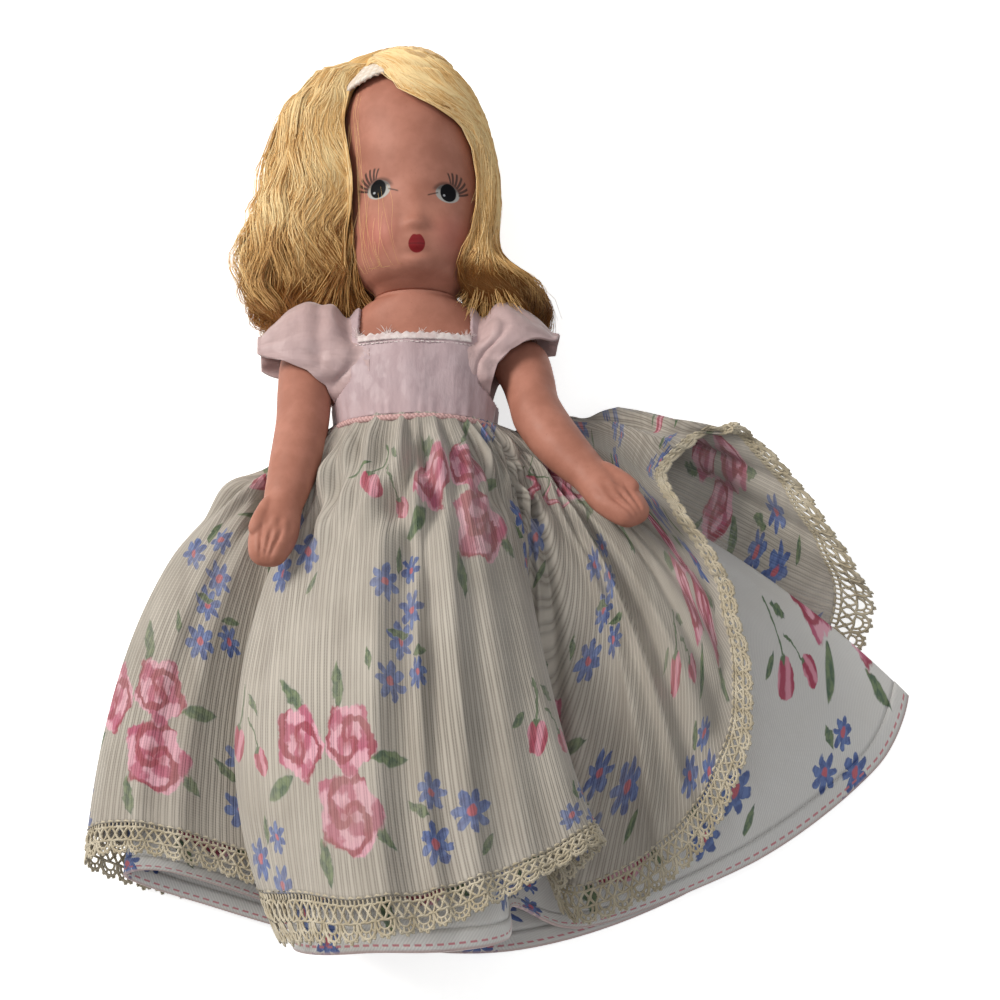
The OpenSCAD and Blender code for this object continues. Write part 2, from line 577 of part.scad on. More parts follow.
module waist_piping() {
    lay() cloth(dress_grid([waist_z - piping_height / 2, waist_z + piping_height / 2],
        dress_gap + cloth_t + piping_height / 2), piping_height);
}

// Cap sleeve turned about the shoulder axis and cut open on a slant below.
module sleeve_form(cut, lift) {
    start = arm_socket_flat + 0.4;
    bend = start + sleeve_straight;
    reach = shoulder_side + sleeve_reach;
    translate([0, 0, shoulder_z]) rotate([-lift, 0, 0]) difference() {
        rotate([0, 90, 0]) rotate_extrude()
            polygon([[sleeve_r - cloth_t, start], [sleeve_r, start], [sleeve_r, bend],
                [sleeve_edge_r, reach], [sleeve_edge_r - cloth_t, reach], [sleeve_r - cloth_t, bend]]);
        translate([shoulder_side + cut, -CUT / 2, 0]) rotate([0, 45, 0])
            translate([0, 0, -CUT]) cube([CUT, CUT, 2 * CUT]);
    }
}

module sleeve_right() { lay() sleeve_form(sleeve_cut_right, lift_right); }
module sleeve_left() { lay() mirror([1, 0, 0]) sleeve_form(sleeve_cut_left, lift_left); }

module back_button() {
    z = shoulder_z - button_drop;
    depth = lookup(z, column(TORSO, 3)) + dress_gap + cloth_t + 3 * TRIM_GAP;
    lay() translate([0, depth, z]) rotate([-90, 0, 0]) difference() {
        cylinder(h = button_t, r = button_r);
        for (side = [-0.3, 0.3]) translate([side * button_r, 0, -1]) cylinder(h = button_t + 2, r = 0.3);
    }
}

// Skirts: gathered at the waist, spread in folds over the table and standing up over the legs.

function waist_point(phi, gap, drop) =
    [axis_side + (lookup(waist_z, column(TORSO, 1)) + gap) * sin(phi),
        waist_z - piping_height / 2 - drop - sole_line,
        axis_height + (lookup(waist_z, column(TORSO, cos(phi) > 0 ? 2 : 3)) + gap) * cos(phi)];
function spread(p) = [axis_side + p[0] * skirt_width / SPREAD_WIDTH,
    waist_z - sole_line + p[1] * skirt_length / SPREAD_LENGTH, p[2] * axis_height / DRAPE_AXIS];
function on_table(p) = [p[0], p[1], max(p[2], skirt_t / 2)];
function skirt_grid(folds, gap, drop, from, to, rows) =
    let (n = len(folds), cols = n * COLS_PER_STATION,
        lines = [[for (s = folds) waist_point(s[0], gap, drop)],
            for (k = [1 : 3]) [for (s = folds) spread(s[k])]])
    [for (i = [0 : rows]) let (v = from + (to - from) * i / rows)
        [for (j = [0 : cols - 1])
            on_table(through4([for (l = lines) around(l, n * j / cols)], v))]];

function petticoat_grid(from, to, rows) =
    skirt_grid(PETTICOAT, petticoat_gap + skirt_t / 2, petticoat_drop, from, to, rows);
function overskirt_grid(from, to, rows) =
    skirt_grid(OVERSKIRT, petticoat_gap + skirt_t + overskirt_gap + skirt_t / 2, overskirt_drop, from, to, rows);

module petticoat() { cloth(petticoat_grid(0, 1 - hem_share, SKIRT_ROWS), skirt_t); }
module petticoat_hem() { cloth(petticoat_grid(1 - hem_share + TRIM_SHARE, 1, 1), skirt_t); }
module overskirt() { cloth(overskirt_grid(0, 1 - lace_share, SKIRT_ROWS), skirt_t); }
module lace_trim() { cloth(overskirt_grid(1 - lace_share + TRIM_SHARE, 1, 1), skirt_t); }

// Wig: a cloth cap under masses of hair, with a strip of tape along the parting.

function cap_edge(a) = seam_z + CAP_EDGE - CAP_SLOPE * sin(a) + CAP_BROW * max(-sin(a), 0);

module wig_cap() {
    top = seam_z + CAP_TOP;
    g = [for (i = [0 : CAP_ROWS]) [for (a = steps(CAP_SIDES))
        oval_point(HEAD, cap_edge(a) + (top - cap_edge(a)) * i / CAP_ROWS, a)]];
    lay() shell(moved(g, cap_gap + cap_t, true), moved(g, cap_gap, true));
}

module parting_tape() {
    rows = 3;
    cols = 4;
    g = [for (i = [0 : rows]) [for (j = [0 : cols])
        oval_point(HEAD, seam_z + TAPE_RISE + tape_width * i / rows, TAPE_FROM + TAPE_ACROSS * j / cols)]];
    inside = wig_gap - TRIM_GAP;
    lay() shell(moved(g, inside + tape_t, false), moved(g, inside, false), false);
}

// One mass of hair over part of the head, falling straight below the widest part.
function hair_row(s, cols) = [for (j = [0 : cols])
    let (p = oval_point(HEAD, seam_z + max(s[0], HAIR_FALL), s[1] + (s[2] - s[1]) * j / cols))
    [p[0], p[1], seam_z + s[0]]];
function hair_depth_at(s, t) = max(HAIR_LEAST,
    s[3] * (1 - t) * (1 - t) + s[5] * t * t + 2 * t * (1 - t) * (2 * s[4] - (s[3] + s[5]) / 2));

module hair(mass, cols) {
    lines = [for (u = [len(mass) - 1 : -0.5 : 0]) along(mass, u)];
    g = [for (s = lines) hair_row(s, cols)];
    outer = [for (i = [0 : len(g) - 1]) [for (j = [0 : cols])
        g[i][j] + (wig_gap + hair_depth_at(lines[i], j / cols)) * grid_normal(g, i, j, false)]];
    lay() shell(outer, moved(g, wig_gap, false), false);
}

module hair_left() { hair(HAIR_LEFT, 10); }
module hair_right() { hair(HAIR_RIGHT, 10); }
module hair_back() { hair(HAIR_BACK, 5); }
module hair_crown() { lay() translate([0, 0, head_top_z]) loft([for (s = HAIR_CROWN) oval(s, LIMB_SIDES)]); }

torso();
head();
arm_left();
arm_right();
leg_left();
leg_right();
arm_cord();
leg_cord();
neck_cord();
knickers();
bodice();
neck_binding();
waist_piping();
sleeve_left();
sleeve_right();
back_button();
petticoat();
petticoat_hem();
overskirt();
lace_trim();
wig_cap();
parting_tape();
hair_left();
hair_right();
hair_back();
hair_crown();
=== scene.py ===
import math

import bpy
import numpy as np
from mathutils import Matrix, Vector


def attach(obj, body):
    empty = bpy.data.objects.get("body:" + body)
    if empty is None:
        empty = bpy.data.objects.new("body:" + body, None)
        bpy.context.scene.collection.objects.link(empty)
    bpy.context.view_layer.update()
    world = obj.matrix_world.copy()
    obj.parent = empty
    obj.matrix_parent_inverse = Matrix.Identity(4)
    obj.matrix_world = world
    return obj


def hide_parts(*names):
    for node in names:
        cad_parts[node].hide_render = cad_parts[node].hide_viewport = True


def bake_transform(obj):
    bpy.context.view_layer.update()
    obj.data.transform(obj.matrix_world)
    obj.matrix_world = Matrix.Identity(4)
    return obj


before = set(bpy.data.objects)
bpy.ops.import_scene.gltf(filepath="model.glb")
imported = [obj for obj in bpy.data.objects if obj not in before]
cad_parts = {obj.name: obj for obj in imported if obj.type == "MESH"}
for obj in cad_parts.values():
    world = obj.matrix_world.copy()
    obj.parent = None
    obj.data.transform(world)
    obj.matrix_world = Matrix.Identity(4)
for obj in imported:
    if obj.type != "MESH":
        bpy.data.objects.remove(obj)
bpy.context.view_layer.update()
bpy.ops.object.select_all(action="DESELECT")


# Studio: the doll lies on a pale table and is looked down on from the foot end, a little off the
# vertical. Soft light comes from beyond its head, with a wide lamp above and an even surround.
CAMERA_AIM = Vector((0, 0, 0.015))
CAMERA_DISTANCE = 0.54
CAMERA_ELEVATION = math.radians(75)
CAMERA_LENS = 125.4

camera = bpy.data.objects.new("camera", bpy.data.cameras.new("camera"))
bpy.context.scene.collection.objects.link(camera)
camera.data.sensor_width = 36
camera.data.lens = CAMERA_LENS
camera.data.clip_start = 0.01
camera.location = CAMERA_AIM + CAMERA_DISTANCE * Vector(
    (0, -math.cos(CAMERA_ELEVATION), math.sin(CAMERA_ELEVATION)))
camera.rotation_euler = (math.pi / 2 - CAMERA_ELEVATION, 0, 0)
bpy.context.scene.camera = camera
bpy.context.scene.view_settings.view_transform = "Standard"


def add_lamp(name, place, size, power, colour):
    lamp = bpy.data.objects.new(name, bpy.data.lights.new(name, "AREA"))
    bpy.context.scene.collection.objects.link(lamp)
    lamp.data.size = size
    lamp.data.energy = power
    lamp.data.color = colour
    lamp.location = place
    lamp.rotation_euler = (-Vector(place)).to_track_quat("-Z", "Y").to_euler()


add_lamp("window", (-0.60, 0.30, 0.47), size=0.35, power=5.7, colour=(1.0, 0.96, 0.90))
add_lamp("ceiling", (0.15, -0.10, 0.95), size=0.60, power=2.0, colour=(0.96, 0.98, 1.0))
SURROUND_LIGHT = 0.27
TABLE_WHITE = 0.68

world = bpy.data.worlds.new("surround")
bpy.context.scene.world = world
world.use_nodes = True


class Wire:
    """A value in a node tree that is added, multiplied and compared like a number."""

    def __init__(self, tree, socket):
        self.tree = tree
        self.socket = socket

    def math(self, operation, *others):
        step = self.tree.nodes.new("ShaderNodeMath")
        step.operation = operation
        for place, value in enumerate((self,) + others):
            if isinstance(value, Wire):
                self.tree.links.new(value.socket, step.inputs[place])
            else:
                step.inputs[place].default_value = value
        return Wire(self.tree, step.outputs[0])

    def __add__(self, other):
        return self.math("ADD", other)

    def __sub__(self, other):
        return self.math("SUBTRACT", other)

    def __mul__(self, other):
        return self.math("MULTIPLY", other)

    def __truediv__(self, other):
        return self.math("DIVIDE", other)

    def sine(self):
        return self.math("SINE")

    def cosine(self):
        return self.math("COSINE")

    def size(self):
        return self.math("ABSOLUTE")

    def most(self, other):
        return self.math("MAXIMUM", other)

    def ramp(self, low, high, start=0.0, end=1.0):
        """Goes smoothly from start to end while the value goes from low to high."""
        step = self.tree.nodes.new("ShaderNodeMapRange")
        step.interpolation_type = "SMOOTHSTEP"
        self.tree.links.new(self.socket, step.inputs["Value"])
        for name, value in (("From Min", low), ("From Max", high), ("To Min", start), ("To Max", end)):
            step.inputs[name].default_value = value
        return Wire(self.tree, step.outputs[0])

    def fade(self, low, high):
        """Goes smoothly from 1 to 0 while the value goes from low to high."""
        return self.ramp(low, high, 1.0, 0.0)


def link(value, socket):
    value.tree.links.new(value.socket, socket)


def paint(shader, colour):
    link(colour, shader.inputs["Base Color"])


def pair(tree, x, y):
    step = tree.nodes.new("ShaderNodeCombineXYZ")
    link(x, step.inputs[0])
    link(y, step.inputs[1])
    return Wire(tree, step.outputs[0])


def axes(vector):
    step = vector.tree.nodes.new("ShaderNodeSeparateXYZ")
    link(vector, step.inputs[0])
    return [Wire(vector.tree, out) for out in step.outputs]


def noise(vector, scale, detail=2.0, stretch=(1, 1, 1)):
    tree = vector.tree
    step = tree.nodes.new("ShaderNodeTexNoise")
    step.inputs["Scale"].default_value = scale
    step.inputs["Detail"].default_value = detail
    mapping = tree.nodes.new("ShaderNodeMapping")
    mapping.inputs["Scale"].default_value = stretch
    link(vector, mapping.inputs["Vector"])
    tree.links.new(mapping.outputs[0], step.inputs["Vector"])
    return Wire(tree, step.outputs[0])


def tint(low, high, factor):
    """Mixes two colours, given as numbers or wires, by a factor."""
    tree = factor.tree
    step = tree.nodes.new("ShaderNodeMix")
    step.data_type = "RGBA"
    link(factor, step.inputs[0])
    for place, colour in ((6, low), (7, high)):
        if isinstance(colour, Wire):
            link(colour, step.inputs[place])
        else:
            step.inputs[place].default_value = (*colour, 1)
    return Wire(tree, step.outputs[2])


def coordinates(tree, output="Object"):
    return Wire(tree, tree.nodes.new("ShaderNodeTexCoord").outputs[output])


def new_finish(name, roughness, specular=0.3, sheen=0.0):
    """A material, its node tree and its shader."""
    finish = bpy.data.materials.new(name)
    finish.use_nodes = True
    shader = finish.node_tree.nodes["Principled BSDF"]
    shader.inputs["Roughness"].default_value = roughness
    shader.inputs["Specular IOR Level"].default_value = specular
    shader.inputs["Sheen Weight"].default_value = sheen
    return finish, finish.node_tree, shader


def raise_surface(shader, height, distance, strength=1.0):
    tree = height.tree
    bump = tree.nodes.new("ShaderNodeBump")
    bump.inputs["Strength"].default_value = strength
    bump.inputs["Distance"].default_value = distance
    link(height, bump.inputs["Height"])
    tree.links.new(bump.outputs[0], shader.inputs["Normal"])


def seen_directly(tree):
    """1 for rays that show the background: straight from the camera, mirrored or let through."""
    path = tree.nodes.new("ShaderNodeLightPath")
    direct = Wire(tree, path.outputs["Is Camera Ray"])
    for kind in ("Is Glossy Ray", "Is Transmission Ray"):
        direct = direct.most(Wire(tree, path.outputs[kind]))
    return direct


surround = world.node_tree.nodes["Background"]
surround.inputs["Color"].default_value = (1, 1, 1, 1)
link(seen_directly(world.node_tree).ramp(0, 1, SURROUND_LIGHT, 1.0), surround.inputs["Strength"])

bpy.ops.mesh.primitive_plane_add(size=6, location=(0, 0, -0.0003))
floor = bpy.context.object
floor.name = "table_top"
bpy.ops.object.transform_apply(location=True)
table_finish, tree, shader = new_finish("table_top", 0.9, 0.1)
grain = noise(coordinates(tree), 900, 3).ramp(0.3, 0.7, 0.0, 1.0)
paint(shader, tint((0.88, 0.88, 0.87), (0.92, 0.92, 0.91), grain))
shader.inputs["Emission Color"].default_value = (1, 1, 1, 1)
link(seen_directly(tree) * TABLE_WHITE, shader.inputs["Emission Strength"])
floor.data.materials.append(table_finish)


# Body and legs: moulded composition painted a warm flesh colour all over, with the shoes moulded
# on. The torso carries the limbs in flat round sockets; only its neck and chest show.
SIDE = -13.2
SOLES = 68.2
AXIS = 16.0
HIP = 51.7
SHOULDER = HIP + 37.5
SEAM = SHOULDER + 11
WAIST = SHOULDER - 10.5
SOCKET_FLAT, SOCKET_R = 10.9, 7.8
HIP_FLAT, HIP_R = 4.4, 7.0
LEG_SIDE = 8.9
TORSO = np.array([
    [HIP - 6, 2, 3, 3], [HIP - 4, 6, 5.5, 5.5], [HIP + 1, 10.5, 8.2, 8.2], [HIP + 7, 11.6, 9, 8.6],
    [WAIST - 12, 11.2, 9, 8.2], [WAIST - 4, 11.2, 8.4, 7.8], [WAIST + 4, 12.2, 8.2, 8],
    [SHOULDER - 0.5, 12.7, 7.8, 7.6], [SHOULDER + 3.5, 12.3, 7, 7], [SHOULDER + 6, 10.8, 6.4, 6.4],
    [SEAM - 1.5, 8.4, 6.2, 6.2], [SEAM - 0.5, 6.8, 6.1, 6.1], [SEAM, 6.6, 6.1, 6.1]])
LEG = np.array([
    [0, 3.1, 7, 3.3], [0.9, 3.95, 8.35, 4.25], [3.2, 3.85, 7.95, 4.45], [5.2, 3.65, 6.25, 4.35],
    [5.4, 3.4, 6, 4.1], [8.7, 3.3, 3.9, 4], [12.7, 3.6, 4.1, 4.4], [18.7, 4, 4.6, 4.8],
    [28.7, 3.9, 4.6, 4.6], [HIP - 15, 4.1, 5.2, 5.2], [HIP - 6, 4.2, 6, 6.1], [HIP, 4.2, 6.3, 6.3],
    [HIP + 3, 4.1, 5.5, 5.5], [HIP + 5, 3.6, 3.8, 3.8], [HIP + 6.2, 2, 1.4, 1.4]])


def curve_through(rows, at, closed=False):
    """Smooth curve through rows of numbers, read at fractional row places."""
    rows = np.asarray(rows, float)
    count = len(rows)
    first = np.floor(at).astype(int)
    if not closed:
        first = np.clip(first, 0, count - 2)
    part = (at - first).reshape((-1,) + (1,) * (rows.ndim - 1))
    places = [first + k for k in (-1, 0, 1, 2)]
    a, b, c, d = [rows[k % count] if closed else rows[np.clip(k, 0, count - 1)] for k in places]
    return b + 0.5 * part * ((c - a) + part * ((2 * a - 5 * b + 4 * c - d) + part * (3 * (b - c) + d - a)))


def lay_down(points):
    """From the upright doll in mm, facing -Y, to metres on its back."""
    points = np.asarray(points, float)
    return np.stack([points[..., 0] + SIDE, points[..., 2] - SOLES, AXIS - points[..., 1]], -1) / 1000


def oval_rings(rows, angles):
    """Rings round a body piece from rows of height, half width, front depth and back depth."""
    depth = np.where(np.sin(angles) > 0, rows[:, 3:4], rows[:, 2:3])
    return np.stack([rows[:, 1:2] * np.cos(angles), depth * np.sin(angles),
                     np.broadcast_to(rows[:, :1], depth.shape)], -1)


def turn(count):
    return np.arange(count) * 2 * math.pi / count


def rolled(rows, steps, sides):
    return oval_rings(curve_through(rows, np.linspace(0, len(rows) - 1, steps)), turn(sides))


def quad_faces(rows, columns, closed):
    across = columns if closed else columns - 1
    i, j = np.meshgrid(np.arange(rows - 1), np.arange(across), indexing="ij")
    a = i * columns + j
    b = i * columns + (j + 1) % columns
    return np.stack([a, b, b + columns, a + columns], -1).reshape(-1, 4)


def mesh_piece(name, points, faces, uv=None, shade=None):
    """An object from points in metres and four-cornered faces, smooth, with optional cut UVs."""
    mesh = bpy.data.meshes.new(name)
    points = np.asarray(points, np.float32).reshape(-1, 3)
    faces = np.asarray(faces, np.int32)
    mesh.vertices.add(len(points))
    mesh.vertices.foreach_set("co", points.ravel())
    mesh.loops.add(faces.size)
    mesh.loops.foreach_set("vertex_index", faces.ravel())
    mesh.polygons.add(len(faces))
    mesh.polygons.foreach_set("loop_start", np.arange(0, faces.size, 4, dtype=np.int32))
    mesh.polygons.foreach_set("use_smooth", np.ones(len(faces), bool))
    if uv is not None:
        mesh.uv_layers.new(name="cut").data.foreach_set("uv", np.asarray(uv, np.float32).ravel())
    if shade is not None:
        mesh.attributes.new("shade", "FLOAT", "POINT").data.foreach_set(
            "value", np.asarray(shade, np.float32).ravel())
    mesh.update(calc_edges=True)
    piece = bpy.data.objects.new(name, mesh)
    bpy.context.scene.collection.objects.link(piece)
    return piece


def pick(piece):
    bpy.ops.object.select_all(action="DESELECT")
    piece.select_set(True)
    bpy.context.view_layer.objects.active = piece


def smooth(piece):
    piece.data.polygons.foreach_set("use_smooth", np.ones(len(piece.data.polygons), bool))
    return piece


def close_ends(piece):
    """Fills the open ends of a rolled form and turns its faces outwards."""
    pick(piece)
    bpy.ops.object.mode_set(mode="EDIT")
    bpy.ops.mesh.select_all(action="SELECT")
    bpy.ops.mesh.fill_holes(sides=0)
    bpy.ops.mesh.normals_make_consistent(inside=False)
    bpy.ops.object.mode_set(mode="OBJECT")
    return smooth(piece)


def moulded(name, rings):
    """A closed form from rings of points in metres."""
    return close_ends(mesh_piece(name, rings, quad_faces(*rings.shape[:2], True)))


def finished(piece, modifier_type, **settings):
    """Adds a modifier with its settings and applies it."""
    pick(piece)
    modifier = piece.modifiers.new(modifier_type.lower(), modifier_type)
    for name, value in settings.items():
        setattr(modifier, name, value)
    bpy.ops.object.modifier_apply(modifier=modifier.name)
    return piece


def dress(piece, finish, slot, body, *nodes):
    """Gives a piece its finish and its body, and hides the CAD nodes that it stands for."""
    piece.data.materials.clear()
    piece.data.materials.append(finish)
    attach(piece, body)
    if nodes:
        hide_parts(*nodes)
    return piece


SKIN_LIGHT = (0.46, 0.200, 0.142)
SKIN_DARK = (0.37, 0.152, 0.104)
SKIN_SPECK = (0.29, 0.115, 0.075)
SHOE_BLACK = (0.022, 0.020, 0.020)
SHOE_SCUFF = (0.10, 0.075, 0.06)


def skin_colour(place):
    mottle = noise(place, 260, 4).ramp(0.30, 0.72)
    specks = noise(place, 2600, 2).ramp(0.66, 0.78, 0.0, 0.35)
    return tint(tint(SKIN_DARK, SKIN_LIGHT, mottle), SKIN_SPECK, specks)


skin_finish, tree, shader = new_finish("painted_skin", 0.52, 0.22)
place = coordinates(tree)
paint(shader, skin_colour(place))
link(noise(place, 420, 3).ramp(0.3, 0.7, 0.46, 0.60), shader.inputs["Roughness"])
raise_surface(shader, noise(place, 900, 3), 0.00012, 0.35)

torso_rings = rolled(TORSO, 90, 72)
for height, flat, radius in ((SHOULDER, SOCKET_FLAT, SOCKET_R), (HIP, HIP_FLAT, HIP_R)):
    near = np.hypot(torso_rings[..., 1], torso_rings[..., 2] - height) < radius
    flattened = np.clip(torso_rings[..., 0], -flat, flat)
    torso_rings[..., 0] = np.where(near, flattened, torso_rings[..., 0])
torso = moulded("body_torso", lay_down(torso_rings))
dress(torso, skin_finish, "skin", "dressed_torso", "torso")

leg_finish, tree, shader = new_finish("painted_leg", 0.45, 0.4)
place = coordinates(tree)
along = axes(place)[1] * 1000 + SOLES
shoe = (along + (noise(place, 700, 2) - 0.5) * 0.5).fade(5.15, 5.4)
scuffs = noise(place, 900, 4).ramp(0.55, 0.75, 0.0, 0.5)
shoe_colour = tint(SHOE_BLACK, SHOE_SCUFF, scuffs)
paint(shader, tint(skin_colour(place), shoe_colour, shoe))
link(shoe.ramp(0, 1, 0.5, 0.28), shader.inputs["Roughness"])
raise_surface(shader, noise(place, 900, 3), 0.00012, 0.35)

for side, name in ((-1, "left"), (1, "right")):
    rings = rolled(LEG, 110, 40) * (side, 1, 1) + (side * LEG_SIDE, 0, 0)
    leg = moulded("leg_" + name + "_painted", lay_down(rings))
    dress(leg, leg_finish, "skin", name + "_leg", "leg_" + name)


# Arms: one moulding each from shoulder to fingertips, with the hand cupped, the thumb laid along
# it and shallow lines between the fingers. The mould is softened, so no edge on it is sharp.
ARM_SIDE = 16.8
LEFT_SPLAY, LEFT_LIFT = 10, 18
RIGHT_SPLAY, RIGHT_LIFT = 32, 25
ARM_LENGTH = 35.0
ARM = np.array([
    [-4.3, 1, 1, 1], [-3.6, 2.6, 2.5, 2.5], [-2, 4, 3.9, 3.9], [0, 4.4, 4.3, 4.3], [5, 4.3, 4.2, 4.2],
    [11, 4.1, 4, 4], [17, 3.9, 3.8, 3.8], [22, 3.4, 3.2, 3.2], [24.5, 3.1, 2.8, 2.8],
    [26.5, 3.3, 2.8, 2.6], [29, 3.7, 2.8, 2.4], [31.5, 3.5, 2.6, 2.1], [33.8, 2.7, 2.1, 1.7],
    [34.8, 1.5, 1.1, 1], [35, 0.5, 0.4, 0.4]])
THUMB = np.array([
    [-1.5, 0.6, 0.6, 0.6], [0, 1.2, 1.2, 1.2], [2.4, 1.3, 1.3, 1.3], [4.4, 1.15, 1.1, 1.1],
    [5.4, 0.75, 0.7, 0.7], [5.8, 0.25, 0.2, 0.2]])


def turned(points, axis, degrees):
    """Points turned about X, Y or Z, right-handed."""
    c = math.cos(math.radians(degrees))
    s = math.sin(math.radians(degrees))
    u, v = ((1, 2), (2, 0), (0, 1))[axis]
    out = points.copy()
    out[..., u] = c * points[..., u] - s * points[..., v]
    out[..., v] = s * points[..., u] + c * points[..., v]
    return out


ARM_STRETCH = 1.05
# How far in from a straight line the arm lies: distance along it, then the left and right arm.
ELBOW = np.array([
    [0, 0, 0], [5, 0.5, 1.5], [11, 1.3, 3.7], [19, 1.6, 4.3], [28, 1.3, 3.3], [37, 0.9, 2.0]])


def on_arm(points, side, splay, lift):
    """From the arm's own length to its place at the shoulder, bent a little at the elbow."""
    points = points * (-1, 1, 1)
    points[..., 2] *= np.where(points[..., 2] > 0, ARM_STRETCH, 1)
    station = np.interp(points[..., 2].ravel(), ELBOW[:, 0], np.arange(len(ELBOW)))
    inward = curve_through(ELBOW, station)[:, 1 if side < 0 else 2].reshape(points.shape[:-1])
    points = turned(points, 1, 180 - splay) + (ARM_SIDE, 0, 0)
    points[..., 0] -= inward
    return lay_down((turned(points, 0, -lift) + (0, 0, SHOULDER)) * (side, 1, 1))


def finger_lines(rings):
    """Shallow grooves between four fingers, front and back, deeper towards the tips."""
    rings = rings.copy()
    reach = np.clip((rings[..., 2] - (ARM_LENGTH - 6.2)) / 2.5, 0, 1)
    taper = np.clip((ARM_LENGTH + 3.5 - rings[..., 2]) / 9.7, 0.3, 1)
    for line in (-1.75, 0, 1.75):
        near = np.exp(-((rings[..., 0] - line * taper) / 0.30) ** 2)
        rings[..., 1] *= 1 - 0.26 * reach * near
    knuckles = np.exp(-((rings[..., 2] - (ARM_LENGTH - 5.6)) / 1.1) ** 2)
    rings[..., 1] *= 1 + 0.08 * knuckles * np.cos(rings[..., 0] * 3.6)
    return rings


for side, name, splay, lift in (
        (-1, "left", LEFT_SPLAY, LEFT_LIFT), (1, "right", RIGHT_SPLAY, RIGHT_LIFT)):
    arm_form = finger_lines(rolled(ARM, 220, 72))
    thumb_form = turned(turned(rolled(THUMB, 30, 24), 0, 6), 1, 10) + (1.9, -1.3, ARM_LENGTH - 9.5)
    arm = moulded("arm_" + name + "_painted", on_arm(arm_form, side, splay, lift))
    thumb = moulded("thumb_" + name, on_arm(thumb_form, side, splay, lift))
    pick(arm)
    thumb.select_set(True)
    bpy.ops.object.join()
    finished(arm, "REMESH", mode="VOXEL", voxel_size=0.00022, use_smooth_shade=True)
    finished(arm, "SMOOTH", factor=0.5, iterations=5)
    dress(arm, skin_finish, "skin", name + "_arm", "arm_" + name)


# Head: moulded with small nose, cheeks, chin and hollows for the eyes, and painted by hand. The
# eyes are black ovals on white with fine lashes and painted shade under the lids, the mouth a red
# dot, the cheeks faintly rouged.
HEAD = np.array([
    [SEAM + 0.3, 6.3, 6, 6], [SEAM + 1.2, 6.9, 7.9, 6.4], [SEAM + 2.4, 8.4, 10, 7.3],
    [SEAM + 4.9, 9.9, 11.5, 9.5], [SEAM + 9.5, 10.7, 12.1, 11.2], [SEAM + 15.5, 10.9, 11.7, 11.8],
    [SEAM + 22.5, 10.9, 12, 11.8], [SEAM + 28.5, 10.6, 11.4, 11.2], [SEAM + 33.3, 8.9, 9.8, 9.8],
    [SEAM + 36.8, 6.1, 7.2, 7.4], [SEAM + 38.7, 3.5, 4.3, 4.4], [SEAM + 39.7, 1.0, 1.2, 1.2]])
# Face relief: distance from the middle, height above the seam, half width, half height, depth.
FACE = (
    (0.3, 8.9, 1.5, 1.3, 0.95), (-0.9, 8.5, 0.9, 0.7, 0.3), (1.5, 8.5, 0.9, 0.7, 0.3),
    (0.2, 11.8, 1.5, 2.8, 0.35), (-5.7, 14.8, 2.9, 2.5, -0.55), (5.1, 14.4, 2.9, 2.5, -0.55),
    (-5.6, 7.6, 3.2, 3, 0.7), (5.6, 7.6, 3.2, 3, 0.7), (0.35, 6.5, 1.6, 0.6, 0.35),
    (0.35, 5.3, 1.3, 0.6, 0.35), (0, 4.2, 2.2, 0.7, -0.3), (0, 2.7, 2.8, 1.4, 0.7), (0, 23, 7, 5, 0.4))

# Face paint: where each eye sits and which way its lashes sweep, and half sizes of white and iris.
EYES = ((-5.75, 15.2, -1), (5.15, 14.4, 1))
WHITE_HALF = (1.84, 1.52)
IRIS_HALF = (1.24, 1.50)
MOUTH = (0.35, 5.55)
CHEEKS = ((-6.0, 7.5), (6.2, 7.5))
ROUGE = (0.50, 0.14, 0.115)
EYE_WHITE = (0.40, 0.39, 0.37)
EYE_BLACK = (0.003, 0.003, 0.004)
EYE_GLINT = (0.50, 0.52, 0.55)
# Brown of the lashes and lid lines, also used for the painted shade under the lids.
LASH_AND_LID_SHADE_BROWN = (0.035, 0.020, 0.017)
LIP_RED = (0.19, 0.008, 0.011)
LIP_LINE = (0.12, 0.004, 0.006)


def eased(share):
    """From 0 to 1 with a soft start and end."""
    return share * share * (3 - 2 * share)


def head_lean(height):
    """How far the top of the head sits to one side of the neck, growing from the brow up."""
    return -1.9 * eased(np.clip((height - SEAM - 14) / 22, 0, 1))


def distance(x, y):
    return (x.math("POWER", 2) + y.math("POWER", 2)).math("SQRT")


head_rings = rolled(HEAD, 150, 144)
relief = np.zeros(head_rings.shape[:2])
for across, rise, half_width, half_height, depth in FACE:
    relief += depth * np.exp(-((head_rings[..., 0] - across) / half_width) ** 2
                             - ((head_rings[..., 2] - SEAM - rise) / half_height) ** 2)
head_rings[..., 1] -= np.where(head_rings[..., 1] < 0, relief, 0)
head_rings[..., 0] += head_lean(head_rings[..., 2])
head = moulded("head_painted", lay_down(head_rings))

face_finish, tree, shader = new_finish("painted_face", 0.5, 0.22)
place = coordinates(tree)
x, y, z = axes(place)
x = x * 1000 - SIDE
y = y * 1000 + SOLES - SEAM
in_front = (z * 1000).ramp(20.0, 21.0)
colour = skin_colour(place)
for cheek_x, cheek_y in CHEEKS:
    rouge = distance(x - cheek_x, y - cheek_y).ramp(0.5, 5.0, 0.36, 0.0) * in_front
    colour = tint(colour, ROUGE, rouge)

